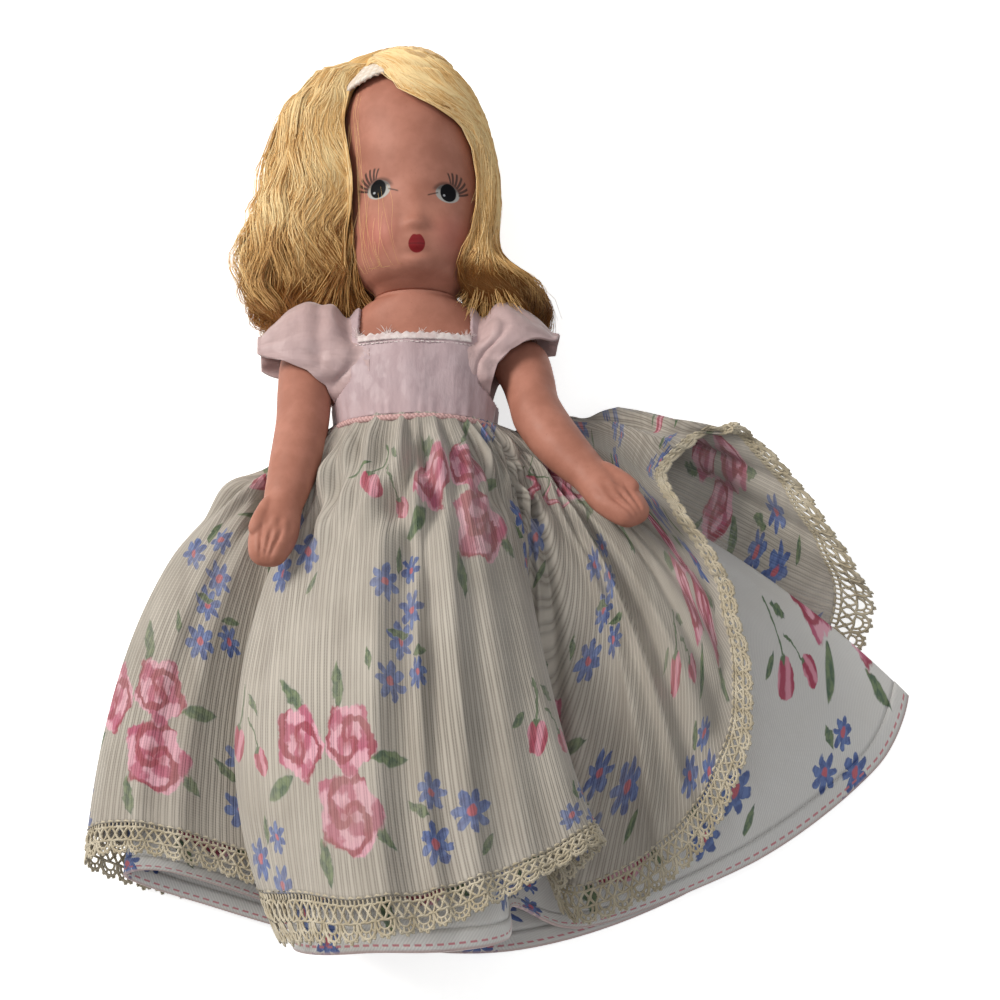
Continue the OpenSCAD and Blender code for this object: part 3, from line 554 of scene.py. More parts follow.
gloss = in_front * 0
for eye_x, eye_y, outer in EYES:
    right = (x - eye_x) * outer
    up = y - eye_y
    radius = distance(right, up)
    angle = up.math("ARCTAN2", right)
    bent = angle - (radius - 1.6) * 0.14
    comb = bent.math("PINGPONG", 0.115).size() * radius
    reach = (bent - 0.75).size().ramp(0.0, 0.8, 3.7, 3.2)
    lash = comb.fade(0.13, 0.24) * radius.ramp(1.5, 1.7)
    lash = lash * (radius - reach).fade(-0.2, 0.1)
    lash = lash * (bent - 0.66).size().fade(0.72, 0.80)
    white_far = distance((right + 0.10) / WHITE_HALF[0], (up + 0.12) / WHITE_HALF[1])
    white = white_far.fade(0.93, 1.05)
    # The upper lid: a painted line along the top of the white that fades out as painted shade, and painted
    # shade from the lid over the top of the white itself.
    lid_line_and_shade = (white_far - 1.0).size().ramp(0.10, 0.42, 0.75, 0.0) * up.ramp(-0.1, 0.7)
    lid_shade_on_white = white * up.ramp(0.1, 0.7, 0.0, 0.9)
    corner = (up + 0.15 + (right + 1.6) * -0.42).size().ramp(0.05, 0.20, 0.9, 0.0)
    corner = corner * (right + 2.35).size().fade(0.65, 0.95)
    iris = distance(right / IRIS_HALF[0], (up - 0.06) / IRIS_HALF[1]).fade(0.93, 1.05)
    glint = distance(x - eye_x + 0.62, up + 0.42)
    strokes = lash.most(lid_line_and_shade).most(corner) * in_front
    colour = tint(colour, EYE_WHITE, white * in_front)
    colour = tint(colour, LASH_AND_LID_SHADE_BROWN, strokes.most(lid_shade_on_white * in_front) * 0.88)
    colour = tint(colour, EYE_BLACK, iris * in_front)
    colour = tint(colour, EYE_GLINT, glint.ramp(0.10, 0.26, 0.8, 0.0) * in_front)
    gloss = gloss.most(iris * in_front)

mouth_x = x - MOUTH[0]
mouth_y = y - MOUTH[1]
bow = (mouth_x.size() - 0.55).size().ramp(0.0, 0.6, 0.16, 0.0) * mouth_y.ramp(0.2, 0.9)
mouth = (distance(mouth_x, mouth_y) - bow).fade(1.22, 1.38) * in_front
lips = tint(LIP_RED, LIP_LINE, mouth_y.size().fade(0.0, 0.2))
colour = tint(colour, lips, mouth)
gloss = gloss.most(mouth * 0.3)
paint(shader, colour)
link(gloss.ramp(0.0, 1.0, 0.52, 0.38), shader.inputs["Roughness"])
link(gloss.ramp(0.0, 1.0, 0.22, 0.05), shader.inputs["Specular IOR Level"])
raise_surface(shader, noise(place, 900, 3) + gloss * 0.6, 0.00012, 0.35)
dress(head, face_finish, "skin", "wigged_head", "head")


# Stringing: covered elastic cord inside the body, knotted behind each limb and under the neck.
# These stay as the construction model has them, with a twisted cover of fine threads.
elastic_finish, tree, shader = new_finish("covered_elastic", 0.8, 0.2, 0.2)
x, y, z = axes(coordinates(tree))
twist = ((x + y * 0.6 + z) * 9000).sine().ramp(-1, 1)
paint(shader, tint((0.60, 0.55, 0.45), (0.82, 0.78, 0.68), twist))
raise_surface(shader, twist, 0.0001, 0.6)


def coat(node, finish):
    """Gives a finish to a CAD node that stays as it is."""
    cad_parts[node].data.materials.clear()
    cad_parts[node].data.materials.append(finish)


for node in ("arm_cord", "leg_cord", "neck_cord"):
    coat(node, elastic_finish)


# Underwear: plain white cotton knickers, gathered at the waist and round the legs, and stitched
# across between the legs. The cloth is thin and a little creased.
KNICKERS = np.array([
    [HIP - 8.5, 14.4, 9.6, 9.2, 0.75], [HIP - 1, 14.4, 9.7, 9.3, 0.78], [HIP + 5, 14.2, 9.8, 9.3, 0.86],
    [HIP + 10, 13.2, 9.8, 9.2, 1], [HIP + 15, 12.2, 9.7, 9, 1]])
KNICKERS_ROWS, KNICKERS_COLUMNS = 60, 200
COTTON_PITCH = 0.0005
FULL_TURN = 6.283


def on_cut(tree):
    """The place on a cloth's flat cut, in metres across and down it."""
    return axes(coordinates(tree, "UV"))[:2]


def stripes(across, pitch):
    return (across * (2 * math.pi / pitch)).sine()


cotton_finish, tree, shader = new_finish("white_cotton", 0.85, 0.15, 0.2)
u, v = on_cut(tree)
raise_surface(shader, stripes(u, COTTON_PITCH) * stripes(v, COTTON_PITCH), 0.00008, 0.5)
worn = noise(coordinates(tree), 300, 4).ramp(0.3, 0.75)
paint(shader, tint((0.60, 0.57, 0.52), (0.76, 0.74, 0.70), worn))


def cut_uv(rows, columns, closed, width, length):
    """Corner by corner UVs of a cloth grid, in metres of the flat cut."""
    across = columns if closed else columns - 1
    i, j = np.meshgrid(np.arange(rows - 1), np.arange(across), indexing="ij")
    corners = [(i, j), (i, j + 1), (i + 1, j + 1), (i + 1, j)]
    uv = [np.stack([b / across * width, a / (rows - 1) * length], -1) for a, b in corners]
    return np.stack(uv, 2).reshape(-1, 2)


def unit(vectors):
    return vectors / np.maximum(np.linalg.norm(vectors, axis=-1, keepdims=True), 1e-12)


def normals_of(grid, closed):
    if closed:
        across = np.roll(grid, -1, 1) - np.roll(grid, 1, 1)
    else:
        across = np.gradient(grid, axis=1)
    return unit(np.cross(across, np.gradient(grid, axis=0)))


def wander(at, seed, low, high):
    """A smooth wavering line about 0, mostly between -2 and 2, with low to high waves a turn."""
    random = np.random.default_rng(seed)
    total = np.zeros_like(at)
    counts = np.arange(low, high + 1)
    for count in counts:
        total += random.normal() * np.sin(2 * math.pi * count * at + random.uniform(0, 6.28))
    return total / math.sqrt(len(counts))


def cloth_piece(name, grid, closed, finish, slot, body, *nodes, cut, thickness):
    """A cloth sheet with real thickness from a grid of points, laid out on its flat cut."""
    rows, columns = grid.shape[:2]
    piece = mesh_piece(name, grid, quad_faces(rows, columns, closed), cut_uv(rows, columns, closed, *cut))
    finished(piece, "SOLIDIFY", thickness=thickness, offset=0)
    return dress(smooth(piece), finish, slot, body, *nodes)


rows = curve_through(KNICKERS, np.linspace(0, len(KNICKERS) - 1, KNICKERS_ROWS))
around = turn(KNICKERS_COLUMNS)
across = np.cos(around)
back = np.sin(around)
power = rows[:, 4:5]
grid = np.stack([rows[:, 1:2] * np.sign(across) * np.abs(across) ** power,
                 np.where(back > 0, rows[:, 3:4], rows[:, 2:3]) * np.sign(back) * np.abs(back) ** power,
                 np.broadcast_to(rows[:, :1], (KNICKERS_ROWS, KNICKERS_COLUMNS))], -1)
share = np.linspace(0, 1, KNICKERS_ROWS)[:, None]
puckers = 0.22 * np.sin(around * 46 + 2 * wander(around / FULL_TURN, 5, 1, 6))
puckers = puckers * (np.exp(-share / 0.12) + np.exp((share - 1) / 0.15))
grid += puckers[..., None] * normals_of(grid, True)
knickers = cloth_piece("knickers_cotton", lay_down(grid), True, cotton_finish, "cotton", "dressed_torso",
                       "knickers", cut=(0.080, 0.024), thickness=0.0005)


# Bodice: pale pink satin with a square neck, drawn close round the torso and buttoned behind. It is
# sewn into the waist seam, and its raw neck edge has frayed.
BODICE_TOP = SEAM - 2.3
NECKLINE = SEAM - 8.0
NECK_HALF = 8.6
PIPING_HALF = 0.5
BODICE_ROWS, BODICE_COLUMNS = 90, 240


def satin(name, dark, light, figure, worn):
    """Satin in slubbed and figured threads of the colours given, softly creased."""
    finish, tree, shader = new_finish(name, 0.5, 0.28, 0.3)
    place = coordinates(tree)
    u, v = on_cut(tree)
    slubs = noise(pair(tree, u * 900, v * 130), 1.0, 3).ramp(0.3, 0.72)
    figured = noise(pair(tree, u * 420, v * 300), 1.0, 2).ramp(0.44, 0.56)
    cloudy = noise(place, 130, 3).ramp(0.3, 0.7)
    colour = tint(tint(dark, light, slubs), figure, figured * 0.5)
    paint(shader, tint(colour, worn, cloudy * 0.4))
    link(figured.ramp(0, 1, 0.60, 0.46), shader.inputs["Roughness"])
    creases = noise(place, 170, 5, (1, 0.6, 1)) + slubs * 0.05
    raise_surface(shader, creases, 0.0012, 0.6)
    return finish


satin_finish = satin("pale_satin", dark=(0.42, 0.31, 0.33), light=(0.49, 0.37, 0.39),
                     figure=(0.54, 0.42, 0.44), worn=(0.47, 0.33, 0.34))


def girth(rows, height):
    """Half width, front depth and back depth of a body piece at a height."""
    return [np.interp(height, rows[:, 0], rows[:, k]) for k in (1, 2, 3)]


def skin_point(rows, height, angle):
    """Points on a body piece at heights and angles of the same shape."""
    width, front, back = girth(rows, height)
    depth = np.where(np.sin(angle) > 0, back, front)
    return np.stack([width * np.cos(angle), depth * np.sin(angle), height + 0 * angle], -1)


def bodice_grid(heights, angles, gap):
    """Rows of points at a distance off the torso, all round it or over a part of the turn."""
    height, angle = np.meshgrid(heights, angles, indexing="ij")
    grid = skin_point(TORSO, height, angle)
    return grid + gap * normals_of(grid, np.ptp(angles) > 6)


heights = np.linspace(WAIST + PIPING_HALF + 0.1, BODICE_TOP, BODICE_ROWS)
angles = turn(BODICE_COLUMNS)
grid = bodice_grid(heights, angles, 0.62)
share = np.linspace(0, 1, BODICE_ROWS)[:, None]
part_turn = angles / FULL_TURN
tucks = np.sin(angles * 30 + 3.5 * wander(part_turn, 8, 1, 12)) * np.exp(-share / 0.14) * 0.10
sags = wander(part_turn + 0.05 * share, 9, 4, 14) * np.sin(share * 3.3 + wander(part_turn, 10, 1, 6))
grid += (tucks + 0.17 * sags)[..., None] * normals_of(grid, True)
keep = ~((np.abs(grid[..., 0]) < NECK_HALF) & (grid[..., 2] > NECKLINE))
armhole = np.hypot(grid[..., 1], grid[..., 2] - SHOULDER) < SOCKET_R - 0.9
keep &= ~(armhole & (np.abs(grid[..., 0]) > SOCKET_FLAT - 1))
faces = quad_faces(BODICE_ROWS, BODICE_COLUMNS, True)
uv = cut_uv(BODICE_ROWS, BODICE_COLUMNS, True, 0.072, 0.019).reshape(-1, 4, 2)
stays = keep.ravel()[faces].all(1)
bodice = mesh_piece("bodice_satin", lay_down(grid), faces[stays], uv[stays])
finished(bodice, "SOLIDIFY", thickness=0.0005, offset=0)
dress(bodice, satin_finish, "satin", "dressed_torso", "bodice")
pick(bodice)
bpy.ops.object.mode_set(mode="EDIT")
bpy.ops.mesh.select_all(action="SELECT")
bpy.ops.mesh.delete_loose()
bpy.ops.object.mode_set(mode="OBJECT")


# Sleeves: each cap sleeve is a short bell of the bodice's satin, eased at the armhole and hemmed
# on a slant. It follows the bodice at the armhole and the arm at the hem.
SLEEVE_START = 8.8
SLEEVE_ROWS, SLEEVE_COLUMNS = 60, 144
# How far the sleeve stands above the shoulder's axis, at distances out from the body's middle.
CAP_LEFT = np.array([[8.8, 8.5], [12.3, 9.6], [16.5, 10.3], [19.7, 9], [22.5, 6.4], [24.6, 4.2]])
CAP_RIGHT = np.array([[8.8, 9.1], [13.2, 10.5], [15.5, 10.1], [19.1, 7.7], [22.6, 4.2]])

# Where the hem lies: degrees round the shoulder from straight up, and distance out.
HEM_LEFT = np.array([
    [0, 24.6], [78, 24.4], [87, 22.8], [96, 19.8], [109, 16.7], [132, 13.8], [180, 11.4]])
HEM_RIGHT = np.array([
    [0, 22.6], [50, 22], [63, 18.6], [80, 14.9], [99, 12.9], [125, 11.9], [180, 11.2]])
# How far the sleeve stands off that axis at the sides, at distances out from the body's middle.
SLEEVE_SIDES = np.array([[7.5, 6.9], [12, 6.4], [16.8, 6.05], [20, 5.6], [24.6, 4.6]])


def shoulder_radius(out, around, gap):
    """How far from the shoulder's axis the bodice lies, in a direction round that axis."""
    radii = np.linspace(3, 9.5, 80)
    height = SHOULDER + radii * np.cos(around)[..., None]
    depth = radii * np.sin(around)[..., None]
    width, front, back = [reach + gap for reach in girth(TORSO, height)]
    inside = (out[..., None] / width) ** 2 + (depth / np.where(depth > 0, back, front)) ** 2 < 1
    return np.where(inside, radii, 3).max(-1)


# One layer of satin over the arm, so that the skin warms its colour.
sleeve_finish = satin("sleeve_satin", dark=(0.44, 0.315, 0.31), light=(0.51, 0.365, 0.36),
                      figure=(0.56, 0.41, 0.41), worn=(0.49, 0.33, 0.32))

for side, name, hem, lift, cap in (
        (-1, "left", HEM_LEFT, LEFT_LIFT, CAP_LEFT), (1, "right", HEM_RIGHT, RIGHT_LIFT, CAP_RIGHT)):
    around = np.broadcast_to(turn(SLEEVE_COLUMNS), (SLEEVE_ROWS, SLEEVE_COLUMNS))
    share = np.linspace(0, 1, SLEEVE_ROWS)[:, None]
    # The slant: above the shoulder axis the sleeve runs to its end, below it stops sooner.
    upright = np.cos(around + math.radians(lift))
    end = np.interp(np.degrees(np.arccos(np.clip(upright, -1, 1))), hem[:, 0], hem[:, 1])
    begin = SLEEVE_START - 2.0 * np.clip((0.45 - upright) / 0.3, 0, 1)
    out = begin + (end - begin) * share
    station = np.interp(out.ravel(), cap[:, 0], np.arange(len(cap)))
    above = curve_through(cap, station)[:, 1].reshape(out.shape)
    beside = np.interp(out, SLEEVE_SIDES[:, 0], SLEEVE_SIDES[:, 1])
    upward = np.clip(upright, 0, 1) ** 1.3
    bell = beside + (np.maximum(above, beside) - beside) * upward
    bell += 0.22 * np.sin(around * 6 + 1.7 * side + 3 * share) * np.sin(share * 2.8)
    bell += 0.20 * np.sin(around * 9 + 5 * share + side) * np.exp(-((out - 12) / 3) ** 2)
    bell += 0.14 * np.sin(around * 15 + side) * share ** 2
    crease = np.sin(around * 4 + 7 * share + 2.2 * np.sin(around * 2 + side)) ** 6
    bell -= 0.55 * crease * np.exp(-((share - 0.45) / 0.30) ** 2)
    seated = eased(np.clip((out - begin) / 4.5, 0, 1))
    flush = np.maximum(shoulder_radius(out, around + math.radians(lift), 0.55), 5.5)
    radius = np.where(seated < 1, flush + (bell - flush) * seated, bell)
    grid = np.stack([out, radius * np.sin(around), radius * np.cos(around)], -1)
    grid = (turned(grid, 0, -lift) + (0, 0, SHOULDER)) * (side, 1, 1)
    sleeve = mesh_piece("sleeve_" + name + "_satin", lay_down(grid),
                        quad_faces(SLEEVE_ROWS, SLEEVE_COLUMNS, True),
                        cut_uv(SLEEVE_ROWS, SLEEVE_COLUMNS, True, 0.046, 0.012))
    finished(sleeve, "SOLIDIFY", thickness=0.0005, offset=0)
    sleeve.data.materials.append(sleeve_finish)
    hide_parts("sleeve_" + name)
    start = lay_down((side * (SOCKET_FLAT + 0.2), 0, SHOULDER))
    stop = lay_down((side * (SOCKET_FLAT + 4.0), 0, SHOULDER))
    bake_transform(sleeve)


# Neck edge: a turned strip of cotton under the raw edge, a row of running stitches, and the loose
# warp ends that have frayed out of the satin.
NECK_MIDDLE, NECK_REACH = 270, 42
BINDING_ROWS, BINDING_COLUMNS = 7, 90
FIBRES, FIBRE_STEPS, FIBRE_RADIUS = 330, 6, 0.000045
STITCHES, STITCH_STEPS, STITCH_RADIUS = 26, 5, 0.0001


def tubes(lines, radii, sides):
    """Points and faces of thin round threads along lines of points, in metres."""
    lines = np.asarray(lines, float)
    count, steps = lines.shape[:2]
    ahead = unit(np.gradient(lines, axis=1))
    helper = np.where(np.abs(ahead[..., 2:3]) < 0.9, (0.0, 0.0, 1.0), (1.0, 0.0, 0.0))
    first = unit(np.cross(ahead, helper))
    second = np.cross(ahead, first)
    around = turn(sides)[:, None]
    ring = np.cos(around) * first[..., None, :] + np.sin(around) * second[..., None, :]
    points = lines[..., None, :] + np.asarray(radii)[..., None, None] * ring
    one = quad_faces(steps, sides, True)[:, ::-1]
    faces = one[None] + (np.arange(count) * steps * sides)[:, None, None]
    return points.reshape(-1, 3), faces.reshape(-1, 4)


binding_finish, tree, shader = new_finish("raw_cotton_edge", 0.85, 0.15, 0.3)
place = coordinates(tree)
fuzz = noise(place, 900, 3).ramp(0.3, 0.7)
paint(shader, tint((0.62, 0.50, 0.49), (0.80, 0.72, 0.70), fuzz))
raise_surface(shader, noise(place, 3000, 2), 0.0001, 0.6)

angles = np.radians(np.linspace(NECK_MIDDLE - NECK_REACH, NECK_MIDDLE + NECK_REACH, BINDING_COLUMNS))
heights = np.linspace(NECKLINE - 0.9, NECKLINE + 0.15, BINDING_ROWS)
grid = bodice_grid(heights, angles, 1.0)
crimp = 0.09 * np.sin(angles * 70 + wander(angles, 14, 1, 5)) + 0.06 * np.sin(angles * 41)
grid[..., 2] += crimp * np.linspace(0.2, 1.6, BINDING_ROWS)[:, None]
cloth_piece("neck_binding_cotton", lay_down(grid), False, binding_finish, "cotton", "dressed_torso",
            "neck_binding", cut=(0.018, 0.001), thickness=0.00035)

random = np.random.default_rng(21)
angle = np.radians(random.uniform(NECK_MIDDLE - NECK_REACH, NECK_MIDDLE + NECK_REACH, FIBRES))
clump = 0.5 + 0.5 * np.sin(angle * 23 + 1.0) * np.sin(angle * 9.0)
root = skin_point(TORSO, np.full(FIBRES, NECKLINE - 0.1), angle) * (1.09, 1.09, 1)
length = ((0.35 + 1.7 * clump ** 3) * random.uniform(0.4, 1.1, FIBRES))[:, None]
lean = random.normal(0, 0.45, FIBRES)[:, None]
step = np.linspace(0, 1, FIBRE_STEPS)[None, :]
fibres = root[:, None, :] + np.stack([
    lean * length * step ** 1.4,
    (-0.25 * step + 0.5 * step ** 2) * length * random.uniform(0.2, 1.3, FIBRES)[:, None],
    length * step], -1)
radii = np.broadcast_to(FIBRE_RADIUS * (1.1 - 0.6 * step), (FIBRES, FIBRE_STEPS))
fray_points, fray_faces = tubes(lay_down(fibres), radii, 4)
stitch_angle = np.radians(
    np.linspace(NECK_MIDDLE - NECK_REACH + 1, NECK_MIDDLE + NECK_REACH - 1, STITCHES))[:, None]
half_stitch = np.radians(1.05) * np.linspace(-1, 1, STITCH_STEPS)[None, :]
stitch_height = NECKLINE - 1.15 + 0.05 * np.sin(stitch_angle * 50)
stitches = skin_point(TORSO, np.broadcast_to(stitch_height, (STITCHES, STITCH_STEPS)),
                      stitch_angle + half_stitch)
stitches = stitches + unit(stitches * (1, 1, 0))
stitch_points, stitch_faces = tubes(
    lay_down(stitches), np.full((STITCHES, STITCH_STEPS), STITCH_RADIUS), 6)
fray = mesh_piece("neck_fray", np.vstack([fray_points, stitch_points]),
                  np.vstack([fray_faces, stitch_faces + len(fray_points)]))
dress(fray, binding_finish, "cotton", "dressed_torso")


# Waist piping: a cord covered in deeper pink cloth, sewn flat over the seam, with a twisted look
# where the cover is drawn tight.
piping_finish, tree, shader = new_finish("pink_piping", 0.6, 0.25, 0.2)
u, v = on_cut(tree)
drawn = ((u + v * 0.35) * 9500).sine().ramp(-1, 1)
paint(shader, tint((0.50, 0.285, 0.275), (0.66, 0.425, 0.41), drawn))
raise_surface(shader, drawn, 0.00012, 0.7)
PIPING_STEPS, PIPING_SIDES = 260, 14
angles = turn(PIPING_STEPS)
ring = turn(PIPING_SIDES)[None, :, None]
middle = bodice_grid(np.array([WAIST - 0.01, WAIST + 0.01]), angles, 1.15)[0]
middle[:, 2] += 0.16 * wander(angles / FULL_TURN, 31, 2, 9)
outward = unit(middle * (1, 1, 0))[:, None, :]
bead = 0.47 + 0.04 * np.sin(angles * 60)
section = np.cos(ring) * outward * 0.9 + np.sin(ring) * np.array((0, 0, 1.0))
grid = middle[:, None, :] + bead[:, None, None] * section
grid = np.concatenate([grid, grid[:1]], 0)
piping = mesh_piece("waist_piping_cord", lay_down(grid), quad_faces(PIPING_STEPS + 1, PIPING_SIDES, True),
                    cut_uv(PIPING_STEPS + 1, PIPING_SIDES, True, 0.003, 0.080)[:, ::-1])
finished(piping, "WELD", merge_threshold=1e-7)
dress(piping, piping_finish, "piping", "dressed_torso", "waist_piping")


# Back button: a small pressed two-hole button that closes the bodice behind, kept as modelled in
# the construction model, with a pearly casein finish.
button_finish, tree, shader = new_finish("pearl_button", 0.22, 0.5)
pearl = noise(coordinates(tree), 700, 4).ramp(0.3, 0.7)
paint(shader, tint((0.62, 0.58, 0.52), (0.80, 0.78, 0.74), pearl))
coat("back_button", button_finish)


# Printed cloth: one small floral design on both skirts, laid out on the flat cut in millimetres.
# Posies of roses, sprays of blue daisies and single rosebuds repeat in a half-drop.
def new_motif(name):
    """A node group that takes a place in mm and gives a colour and how much of it there is."""
    group = bpy.data.node_groups.new(name, "ShaderNodeTree")
    group.interface.new_socket("Place", in_out="INPUT", socket_type="NodeSocketVector")
    group.interface.new_socket("Colour", in_out="OUTPUT", socket_type="NodeSocketColor")
    group.interface.new_socket("Amount", in_out="OUTPUT", socket_type="NodeSocketFloat")
    start = group.nodes.new("NodeGroupInput")
    end = group.nodes.new("NodeGroupOutput")
    return group, Wire(group, start.outputs[0]), end


def polar(place):
    x, y, z = axes(place)
    return distance(x, y), y.math("ARCTAN2", x), x, y


def end_motif(end, colour, amount):
    link(colour, end.inputs[0])
    link(amount, end.inputs[1])


rose_motif, place, end = new_motif("rose")
far, angle, x, y = polar(place)
ragged = noise(place, 0.8, 3)
rim = (angle * 5 + 0.6).cosine() * 0.25 + ragged * 1.5 + 2.1
petals = (angle * 3 + far * 2.4 + ragged * 6.0).sine()
folds = (angle * 2 - far * 3.2 + ragged * 5.0).sine()
colour = tint((0.47, 0.085, 0.17), (0.74, 0.37, 0.46), petals.ramp(-0.6, 0.5))
colour = tint(colour, (0.30, 0.012, 0.045), folds.ramp(0.15, 0.8, 0.0, 0.9))
colour = tint(colour, (0.34, 0.02, 0.06), far.ramp(0.3, 1.2, 0.7, 0.0))
end_motif(end, colour, (far - rim).fade(-0.25, 0.05))

daisy_motif, place, end = new_motif("daisy")
far, angle, x, y = polar(place)
petal = (angle * 3.5).cosine().size()
colour = tint((0.035, 0.075, 0.25), (0.11, 0.185, 0.44), noise(place, 1.2, 2).ramp(0.35, 0.65))
colour = tint((0.50, 0.09, 0.13), colour, far.ramp(0.35, 0.55))
end_motif(end, colour, (far - petal - 1.05).fade(-0.2, 0.08))

leaf_motif, place, end = new_motif("leaf")
x, y, z = axes(place)
blade = (x / 1.7).math("POWER", 2) * -0.62 + 0.62
colour = tint((0.035, 0.085, 0.045), (0.14, 0.20, 0.09), noise(place, 1.8, 2).ramp(0.35, 0.65))
end_motif(end, colour, (y.size() - blade).fade(-0.20, 0.05))

bud_motif, place, end = new_motif("bud")
far, angle, x, y = polar(place)
swell = distance(x / 1.35, (y - 0.4) / 1.75)
streaks = (x * 3.6 + y * 0.9).sine()
colour = tint((0.36, 0.02, 0.07), (0.70, 0.27, 0.36), streaks.ramp(-0.5, 0.7))
cup = (y + x.size() * 0.9 + 0.55).fade(-0.15, 0.1)
stem = (x + ((y + 1.0) * 0.8).sine() * 0.3).size().fade(0.10, 0.26)
stem = stem * (y + 3.0).size().fade(1.75, 1.95)
colour = tint(colour, (0.08, 0.14, 0.06), cup.most(stem))
end_motif(end, colour, swell.fade(0.88, 1.02).most(stem))


def stamp(place, base, amount, motif, at, degrees=0.0, scale=1.0):
    """Prints a motif over a base colour and returns the colour and cover. Each stamp waits for the
    one before it, so that the shader holds few values at a time."""
    tree = place.tree
    local = tree.nodes.new("ShaderNodeVectorMath")
    local.operation = "MULTIPLY_ADD"
    link(amount, local.inputs[0])
    local.inputs[1].default_value = (1e-7, 1e-7, 0)
    link(place, local.inputs[2])
    mapping = tree.nodes.new("ShaderNodeMapping")
    mapping.vector_type = "TEXTURE"
    mapping.inputs["Location"].default_value = (*at, 0)
    mapping.inputs["Rotation"].default_value = (0, 0, math.radians(degrees))
    mapping.inputs["Scale"].default_value = (scale, scale, 1)
    tree.links.new(local.outputs[0], mapping.inputs["Vector"])
    group = tree.nodes.new("ShaderNodeGroup")
    group.node_tree = motif
    tree.links.new(mapping.outputs[0], group.inputs[0])
    cover = Wire(tree, group.outputs[1])
    return tint(base, Wire(tree, group.outputs[0]), cover), amount.most(cover)


def compose(name, stamps):
    """A larger motif made of smaller ones, each with its place, turn and size."""
    group, place, end = new_motif(name)
    colour = (0.5, 0.5, 0.5)
    amount = axes(place)[0] * 0
    for motif, at, degrees, scale in stamps:
        colour, amount = stamp(place, colour, amount, motif, at, degrees, scale)
    end_motif(end, colour, amount)
    return group


posy_motif = compose("posy", [
    (leaf_motif, (-5.6, 2.6), -40, 1.3), (leaf_motif, (5.4, 3.6), 35, 1.2),
    (leaf_motif, (-4.6, -4.8), 25, 1.3), (leaf_motif, (6.2, -2.2), -15, 1.2),
    (leaf_motif, (0.6, -6.6), 80, 1.2), (leaf_motif, (0.2, 6.6), 70, 1.2),
    (rose_motif, (-3.3, -1.4), 0, 1.05), (rose_motif, (2.4, 2.6), 70, 1.15),
    (rose_motif, (2.2, -2.9), 160, 0.95)])
spray_motif = compose("spray", [
    (leaf_motif, (-3.2, -1.2), 30, 0.9), (leaf_motif, (2.9, 2.6), -50, 0.8),
    (daisy_motif, (-1.8, 1.7), 10, 0.95), (daisy_motif, (2.0, -0.4), 35, 1.0),
    (daisy_motif, (-1.6, -2.4), 55, 0.8)])
buds_motif = compose("buds", [
    (leaf_motif, (1.6, -2.4), 50, 0.8), (leaf_motif, (-2.8, -1.0), -30, 0.8),
    (bud_motif, (-0.9, 0.6), 12, 1.0), (bud_motif, (2.6, 2.2), -28, 0.8)])

PRINT_REPEAT = (58.0, 37.0)
PRINT_SCALE = 1.85
PRINT_LAYOUT = (
    (posy_motif, (0, 0), 8, 0.95), (spray_motif, (21.0, 6.5), 0, 0.95),
    (buds_motif, (-19.0, -4.0), 0, 0.85), (spray_motif, (14.0, -14.5), 140, 0.75),
    (spray_motif, (-14.0, 13.0), 60, 0.75))


def half_drop(place, at, amount):
    """The place within one repeat, with every other row of repeats moved half a repeat along."""
    x, y, z = axes(place)
    x = x - at[0] + amount * 1e-7
    y = y - at[1]
    row = (y / PRINT_REPEAT[1]).math("ROUND")
    y = y - row * PRINT_REPEAT[1]
    x = x + row * (PRINT_REPEAT[0] / 2)
    x = x - (x / PRINT_REPEAT[0]).math("ROUND") * PRINT_REPEAT[0]
    return pair(place.tree, x, y)


def printed(place, ground, strength, shift=(0, 0)):
    """The floral design over a ground colour, at a strength that may vary over the cloth."""
    x, y, z = axes(place)
    wobble = noise(place, 0.55, 3) - 0.5
    place = pair(place.tree, x + wobble * 1.6, y - wobble * 1.4)
    inked = ground
    cover = x * 0
    for motif, at, degrees, scale in PRINT_LAYOUT:
        cell = half_drop(place, (at[0] + shift[0], at[1] + shift[1]), cover)
        inked, cover = stamp(cell, inked, cover, motif, (0, 0), degrees, scale * PRINT_SCALE)
    return tint(ground, inked, cover * strength)


